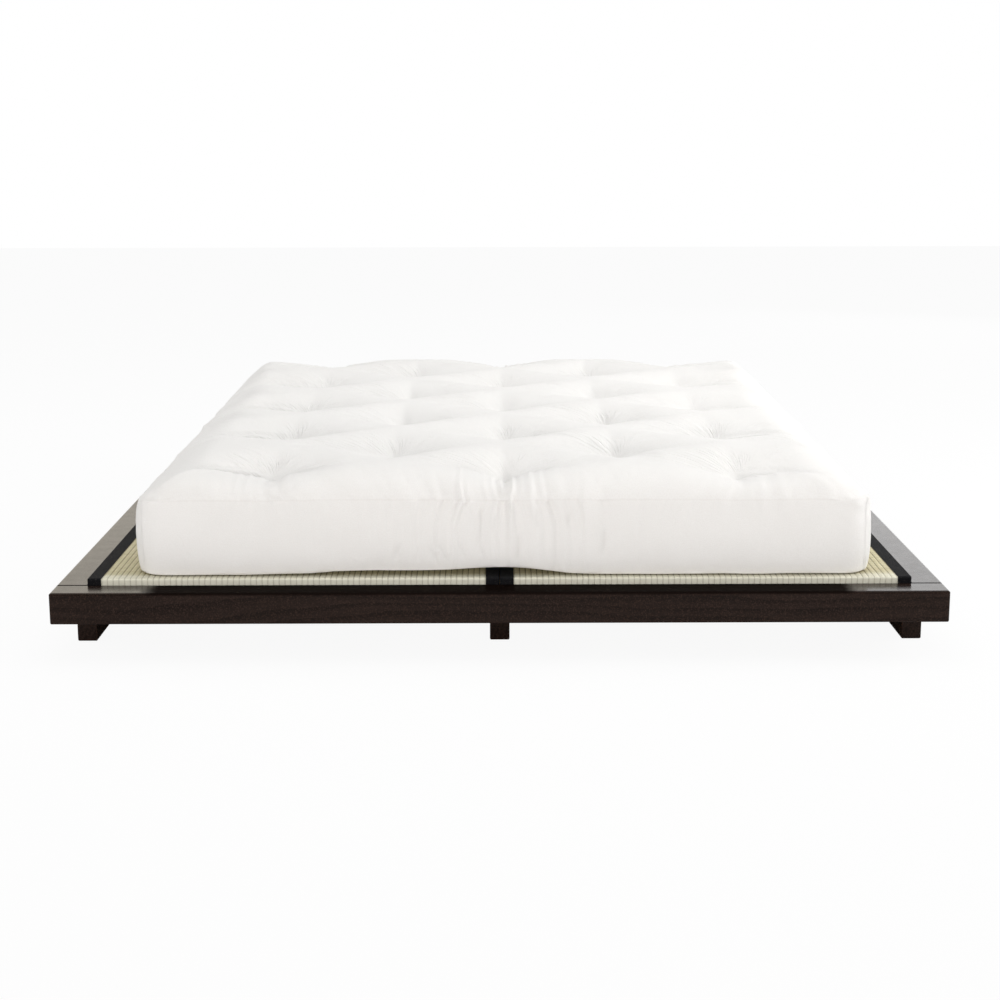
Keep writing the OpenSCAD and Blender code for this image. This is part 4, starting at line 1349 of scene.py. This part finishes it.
            # A long fold runs to the side, with a shallower one behind it. Front right, both are slight.
            calm = 0.35 if side > 0.0 and self.in_front_row(spot) else 1.0
            for start, depth in ((0.0, calm), (0.030, 0.45 * calm)):
                run = side * (plan[top, 0] - spot[0])
                line = start + bend * run - run ** 2 * (1.5 + 2.0 * lift)
                off = plan[top, 1] - spot[1] - line
                share = ease(run, 0.0, 0.03) * (1.0 - ease(run, reach * 0.6, reach))
                groove = 0.6 * bell(off + 0.022, 0.014) - bell(off, 0.009)
                out[top] += self.fold_depth * depth * share * groove
        return out

    def lumps(self, plan: np.ndarray, level: np.ndarray) -> np.ndarray:
        """Makes the filling a little uneven: broad low waves, and a crumple at two front corners."""
        draw = np.random.default_rng(21)
        waves = 9
        rough = np.zeros(len(plan))
        fine = np.zeros(len(plan))
        for _ in range(waves):
            heading = draw.normal(size=3)
            heading /= np.linalg.norm(heading)
            rough += np.sin(plan @ heading * 2 * math.pi / draw.uniform(0.09, 0.21) + draw.uniform(0, 6.3))
            fine += np.sin(plan @ heading * 2 * math.pi / draw.uniform(0.022, 0.05) + draw.uniform(0, 6.3))
        corner = np.zeros(len(plan))
        for side, share in ((-1.0, 0.55), (1.0, 1.0)):
            spot = np.array([self.centre[0] + side * (self.half[0] - 0.02),
                             self.centre[1] - self.half[1] + 0.02, self.high_seam - 0.01])
            corner += share * bell(np.linalg.norm(plan - spot, axis=1), 0.05)
        out = self.lump_height * rough + self.crumple_height * corner * fine
        return out / math.sqrt(waves) * ~is_bottom(level)

    def inside(self, rows: np.ndarray) -> np.ndarray:
        """Gives how far in from the rounded outline each vertex is, in metres."""
        past = np.abs(rows[:, :2] - self.centre) - (self.half - self.crown)
        return self.crown - np.hypot(*np.maximum(past, 0.0).T) - np.minimum(past.max(axis=1), 0.0)

    def holding(self, formed: np.ndarray, level: np.ndarray) -> np.ndarray:
        """Says how firmly the cloth is held: at the twine, and where the mattress lies on the mats."""
        held = is_bottom(level) & (formed[:, 2] < self.floor + self.rest_reach)
        for spot in self.tufts:
            gap = np.hypot(*(formed[:, :2] - spot).T)
            held |= (gap < self.knot_reach) & is_top(level)
        return held.astype(float)

    def map_cloth(self, mesh: bpy.types.Mesh, formed: np.ndarray, level: np.ndarray) -> None:
        """Gives the cloth its own map in metres: plan on the panels, run and height on the wall."""
        layer = mesh.uv_layers.new(name="cloth")
        corners = np.zeros(len(mesh.loops), int)
        mesh.loops.foreach_get("vertex_index", corners)
        counts = np.zeros(len(mesh.polygons), int)
        mesh.polygons.foreach_get("loop_total", counts)
        face_of = np.repeat(np.arange(len(counts)), counts)
        mean = np.bincount(face_of, level[corners]) / counts
        on_wall = (~is_bottom(mean) & ~is_top(mean))[face_of]
        spot = formed[corners] - np.array([*self.centre, 0.0])
        across = np.abs(spot[:, 0]) / self.half[0] > np.abs(spot[:, 1]) / self.half[1]
        wall = np.column_stack([np.where(across, spot[:, 1], spot[:, 0]), spot[:, 2]])
        uv = np.where(on_wall[:, None], wall, spot[:, :2])
        layer.data.foreach_set("uv", uv.astype(np.float32).ravel())


@dataclass
class TuftKnots:
    """The knots of the twine that ties the mattress through, one in each hollow."""

    spots: np.ndarray
    heights: np.ndarray
    strand: float = 0.0011
    sides: int = 3
    loop_half: tuple[float, float] = (0.0042, 0.0022)
    loop_steps: int = 12
    loop_sway: float = 0.0007
    end_step: float = 0.003
    end_points: int = 5

    def strands(self) -> list[list[Point]]:
        """Lays one knot's strands round the origin: two crossed loops and two cut ends."""
        loops: list[list[Point]] = []
        for turn, tilt in ((0.0, 0.0016), (math.pi / 2, 0.0030)):
            ring = []
            for step in range(self.loop_steps + 1):
                angle = 2 * math.pi * step / self.loop_steps
                along = self.loop_half[0] * math.cos(angle)
                across = self.loop_half[1] * math.sin(angle)
                ring.append((along * math.cos(turn) - across * math.sin(turn),
                             along * math.sin(turn) + across * math.cos(turn),
                             tilt + self.loop_sway * math.cos(2 * angle)))
            loops.append(ring)
        for turn in (0.7, 3.6):
            runs = [step * self.end_step for step in range(self.end_points)]
            loops.append([(run * math.cos(turn + run * 40), run * math.sin(turn + run * 40),
                           0.0035 + 0.004 * math.sin(run * 230)) for run in runs])
        return loops

    def build(self, material: bpy.types.Material) -> bpy.types.Object:
        """Ties every knot and joins them in one piece."""
        curve = bpy.data.curves.new("tuft_knots", "CURVE")
        curve.dimensions = "3D"
        curve.bevel_depth = self.strand
        curve.bevel_resolution = self.sides - 2
        curve.use_fill_caps = True
        turns = np.random.default_rng(5).uniform(0.0, 2 * math.pi, len(self.spots))
        for spot, height, turn in zip(self.spots, self.heights, turns):
            placed = Matrix.Translation((spot[0], spot[1], height)) @ Matrix.Rotation(turn, 4, "Z")
            for points in self.strands():
                line = curve.splines.new("POLY")
                line.points.add(len(points) - 1)
                for point, place in zip(line.points, points):
                    point.co = (*(placed @ Vector(place)), 1.0)
        source = bpy.data.objects.new("tuft_curves", curve)
        shape = bmesh.new()
        shape.from_mesh(source.to_mesh())
        source.to_mesh_clear()
        bpy.data.objects.remove(source)
        bmesh.ops.remove_doubles(shape, verts=shape.verts, dist=0.00001)
        bmesh.ops.recalc_face_normals(shape, faces=shape.faces)
        piece = new_piece("tuft_knots", shape, material)
        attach(piece, "mattress")
        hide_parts("futon_tufts")
        return piece


# ---------------------------------------------------------------- the bedstead and the mats


def finish_nodes(done: Mapping[str, bpy.types.Material]) -> list[str]:
    """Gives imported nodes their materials.

    Args:
        done: The material of each node, by the node's name.

    Returns:
        The nodes' names.
    """
    for name, material in done.items():
        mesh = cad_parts[name].data
        mesh.materials.clear()
        mesh.materials.append(material)
    return sorted(done)


@dataclass
class Bedstead:
    """The stained rails and runners, and the slatted base that hangs inside them."""

    # How much of the front rail's top is worn and darkened with painted shade, and how far below its top
    # that starts.
    worn_shaded_share: float = 0.775
    worn_shaded_drop: float = 0.002

    def dress(self) -> list[str]:
        """Finishes the bedstead's own nodes and returns their names."""
        low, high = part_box("front_rail")
        half = (high.x - low.x) / 2 * self.worn_shaded_share
        along_x = StainedWood("stained_wood_across").make()
        along_y = StainedWood("stained_wood_along", lie=Lie.ALONG_Y).make()
        front = StainedWood("stained_wood_front", worn_shaded_half=half,
                            worn_shaded_front=high.z - self.worn_shaded_drop).make()
        side_low, side_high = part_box("left_rail")
        side = StainedWood("stained_wood_side", lie=Lie.ALONG_Y,
                           joint=(side_high.y - side_low.y) / 2).make()
        pine_x = BareTimber("pine_across").make()
        pine_y = BareTimber("pine_along", lie=Lie.ALONG_Y).make()
        beech = BareTimber("beech", lie=Lie.ALONG_Y, pale=srgb(214, 176, 134), dark=srgb(178, 130, 88),
                           ring_width=0.003).make()
        zinc = ZincPlate("zinc_steel").make()
        tape = WovenCloth("webbing", colour=srgb(232, 228, 216), second=srgb(190, 184, 168),
                          thread=0.0022, relief=0.0005, sheen=0.1).make()
        done = {"front_rail": front, "rear_rail": along_x, "left_rail": side, "right_rail": side,
                "left_runner": along_y, "centre_runner": along_y, "right_runner": along_y,
                "left_ledge": pine_y, "right_ledge": pine_y, "centre_beam": pine_y,
                "front_left_ledge": pine_x, "front_right_ledge": pine_x,
                "rear_left_ledge": pine_x, "rear_right_ledge": pine_x,
                "slat_tapes": tape, "corner_dowels": beech}
        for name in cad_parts:
            if name.startswith("slat_") and name[5:].isdigit():
                done[name] = pine_x
            elif name.split("_")[-1] in ("bolts", "washers", "inserts", "screws", "hangers"):
                done[name] = zinc
        return finish_nodes(done)


@dataclass
class RushMats:
    """Two mats side by side: a straw core under a rush face, with cloth borders down the sides."""

    rib: float = 0.0125

    def dress(self) -> list[str]:
        """Finishes the mats' nodes and returns their names."""
        cloth = WovenCloth("border_cloth").make()
        straw = PackedFibre("straw_core", pale=srgb(206, 184, 128), dark=srgb(160, 134, 80)).make()
        backing = WovenCloth("backing_sheet", colour=srgb(150, 140, 118), second=srgb(110, 100, 80),
                             thread=0.0025, sheen=0.0).make()
        done: dict[str, bpy.types.Material] = {}
        for side in ("left", "right"):
            low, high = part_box(f"{side}_mat_rush_cover")
            rush = WovenRush(f"{side}_rush", rib=self.rib, rib_start=(low.x + high.x) / 2 + self.rib / 2,
                             half_length=(high.y - low.y) / 2)
            done[f"{side}_mat_rush_cover"] = rush.make()
            done[f"{side}_mat_core"] = straw
            done[f"{side}_mat_backing"] = backing
            done[f"{side}_mat_outer_border"] = cloth
            done[f"{side}_mat_inner_border"] = cloth
        return finish_nodes(done)


# ---------------------------------------------------------------- the room


@dataclass(frozen=True)
class Lamp:
    """An oblong lamp: where it hangs, the point it faces, its size and its power in watts."""

    name: str
    place: Point
    aim: Point
    size: tuple[float, float]
    power: float
    in_gloss: bool = False
    tint: Point = (1.0, 1.0, 1.0)

    def hang(self) -> None:
        """Hangs the lamp; varnish and metal mirror it only where in_gloss is set."""
        data = bpy.data.lights.new(self.name, "AREA")
        data.shape = "RECTANGLE"
        data.size, data.size_y = self.size
        data.energy = self.power
        data.color = self.tint
        lamp = bpy.data.objects.new(self.name, data)
        bpy.context.scene.collection.objects.link(lamp)
        lamp.location = self.place
        lamp.rotation_euler = (Vector(self.aim) - Vector(self.place)).to_track_quat("-Z", "Y").to_euler()
        lamp.visible_glossy = self.in_gloss


@dataclass
class Studio:
    """A pale floor, a white surround, soft lamps and the camera."""

    stand: Point = (-0.014, -4.856, 1.143)
    pitch: float = -11.79
    yaw: float = -0.22
    roll: float = -0.11
    lens: float = 65.52
    sensor: float = 36.0
    floor_half: float = 12.0
    floor_tone: Colour = (0.88, 0.88, 0.88, 1.0)
    sky: float = 0.52
    front_gloss: float = 0.08
    left_gloss: Colour = (1.25, 1.17, 1.02, 1.0)
    white_share: float = 0.93
    lamps: tuple[Lamp, ...] = (
        Lamp("key", (3.4, -0.4, 2.0), (0.0, 0.0, 0.2), (1.8, 1.8), 62.0),
        Lamp("overhead", (0.0, 0.4, 4.2), (0.0, 0.0, 0.3), (3.5, 3.5), 58.0),
        Lamp("fill", (-3.6, -0.6, 1.5), (0.0, 0.0, 0.2), (2.4, 1.6), 14.0),
        Lamp("front", (-0.4, -6.2, 0.55), (0.0, -0.9, 0.25), (5.0, 1.0), 106.0, tint=(1.0, 0.95, 0.918)),
        Lamp("sheen_card", (3.2, 5.2, 1.9), (0.9, 0.0, 0.15), (4.0, 3.0), 27.0, in_gloss=True))

    def camera(self) -> None:
        """Makes the camera at the bed's foot, a little above it."""
        data = bpy.data.cameras.new("camera")
        data.sensor_width = self.sensor
        data.lens = self.lens
        data.clip_end = 100.0
        camera = bpy.data.objects.new("camera", data)
        bpy.context.scene.collection.objects.link(camera)
        turn = (Matrix.Rotation(math.radians(self.yaw), 4, "Z")
                @ Matrix.Rotation(math.radians(90.0 + self.pitch), 4, "X")
                @ Matrix.Rotation(math.radians(self.roll), 4, "Z"))
        camera.matrix_world = Matrix.Translation(self.stand) @ turn
        bpy.context.scene.camera = camera

    def floor(self) -> None:
        """Lays the floor, which shows nearly white and keeps the bed's shadow."""
        material = bpy.data.materials.new("floor")
        material.use_nodes = True
        tree = material.node_tree
        tree.nodes.remove(tree.nodes["Principled BSDF"])
        g = Graph(tree)
        plain = g.add("ShaderNodeBsdfDiffuse", {"Color": self.floor_tone}).outputs[0]
        white = g.add("ShaderNodeEmission", {"Color": WHITE, "Strength": 1.0}).outputs[0]
        seen = g.add("ShaderNodeLightPath").outputs["Is Camera Ray"]
        share = g.math("MULTIPLY", seen, self.white_share)
        both = g.add("ShaderNodeMixShader", {0: share, 1: plain, 2: white}).outputs[0]
        g.feed(tree.nodes["Material Output"].inputs["Surface"], both)
        shape = bmesh.new()
        bmesh.ops.create_grid(shape, x_segments=1, y_segments=1, size=self.floor_half)
        new_piece("floor", shape, material, smooth=False)

    def surround(self) -> None:
        """Lights the bed evenly from all round, and shows white to the eye and to gloss."""
        world = bpy.data.worlds.new("surround")
        bpy.context.scene.world = world
        world.use_nodes = True
        g = Graph(world.node_tree)
        paths = g.add("ShaderNodeLightPath").outputs
        left, behind, _ = g.split(g.add("ShaderNodeTexCoord").outputs["Generated"])
        mirrored = g.math("MULTIPLY", paths["Is Glossy Ray"],
                          g.span(behind, -0.4, 0.2, self.front_gloss, 1.0))
        straight = g.math("MAXIMUM", paths["Is Camera Ray"], paths["Is Transmission Ray"])
        straight = g.math("MAXIMUM", straight, mirrored)
        ground = world.node_tree.nodes["Background"]
        gloss_only = g.math("SUBTRACT", 1.0, paths["Is Glossy Ray"])
        even = g.math("MULTIPLY", gloss_only, self.sky)
        g.feed(ground.inputs["Strength"], g.math("MAXIMUM", straight, even))
        from_left = g.math("MULTIPLY", paths["Is Glossy Ray"], g.span(left, -0.02, -0.2))
        g.feed(ground.inputs["Color"], g.mix(from_left, WHITE, self.left_gloss))

    def build(self) -> None:
        """Sets up the whole room."""
        bpy.context.scene.view_settings.view_transform = "Standard"
        self.camera()
        self.floor()
        self.surround()
        for lamp in self.lamps:
            lamp.hang()


def main() -> None:
    """Builds the room, then each part of the bed, and reports each piece."""
    logging.basicConfig(level=logging.INFO, format="%(message)s")
    make_effects()
    Studio().build()
    for name in Bedstead().dress() + RushMats().dress():
        LOG.info("finished %s", name)
    mattress = TuftedMattress()
    cotton = CottonCase("cotton_case", mattress.column_pitch(), mattress.row_pitch())
    piece = mattress.build(cotton.make())
    LOG.info("made %s with %d faces", piece.name, len(piece.data.polygons))
    knots = TuftKnots(mattress.tufts, mattress.tie_heights())
    piece = knots.build(TwistedTwine("twine").make())
    LOG.info("tied %d tufts with %d faces", len(mattress.tufts), len(piece.data.polygons))


if __name__ == "__main__":
    main()
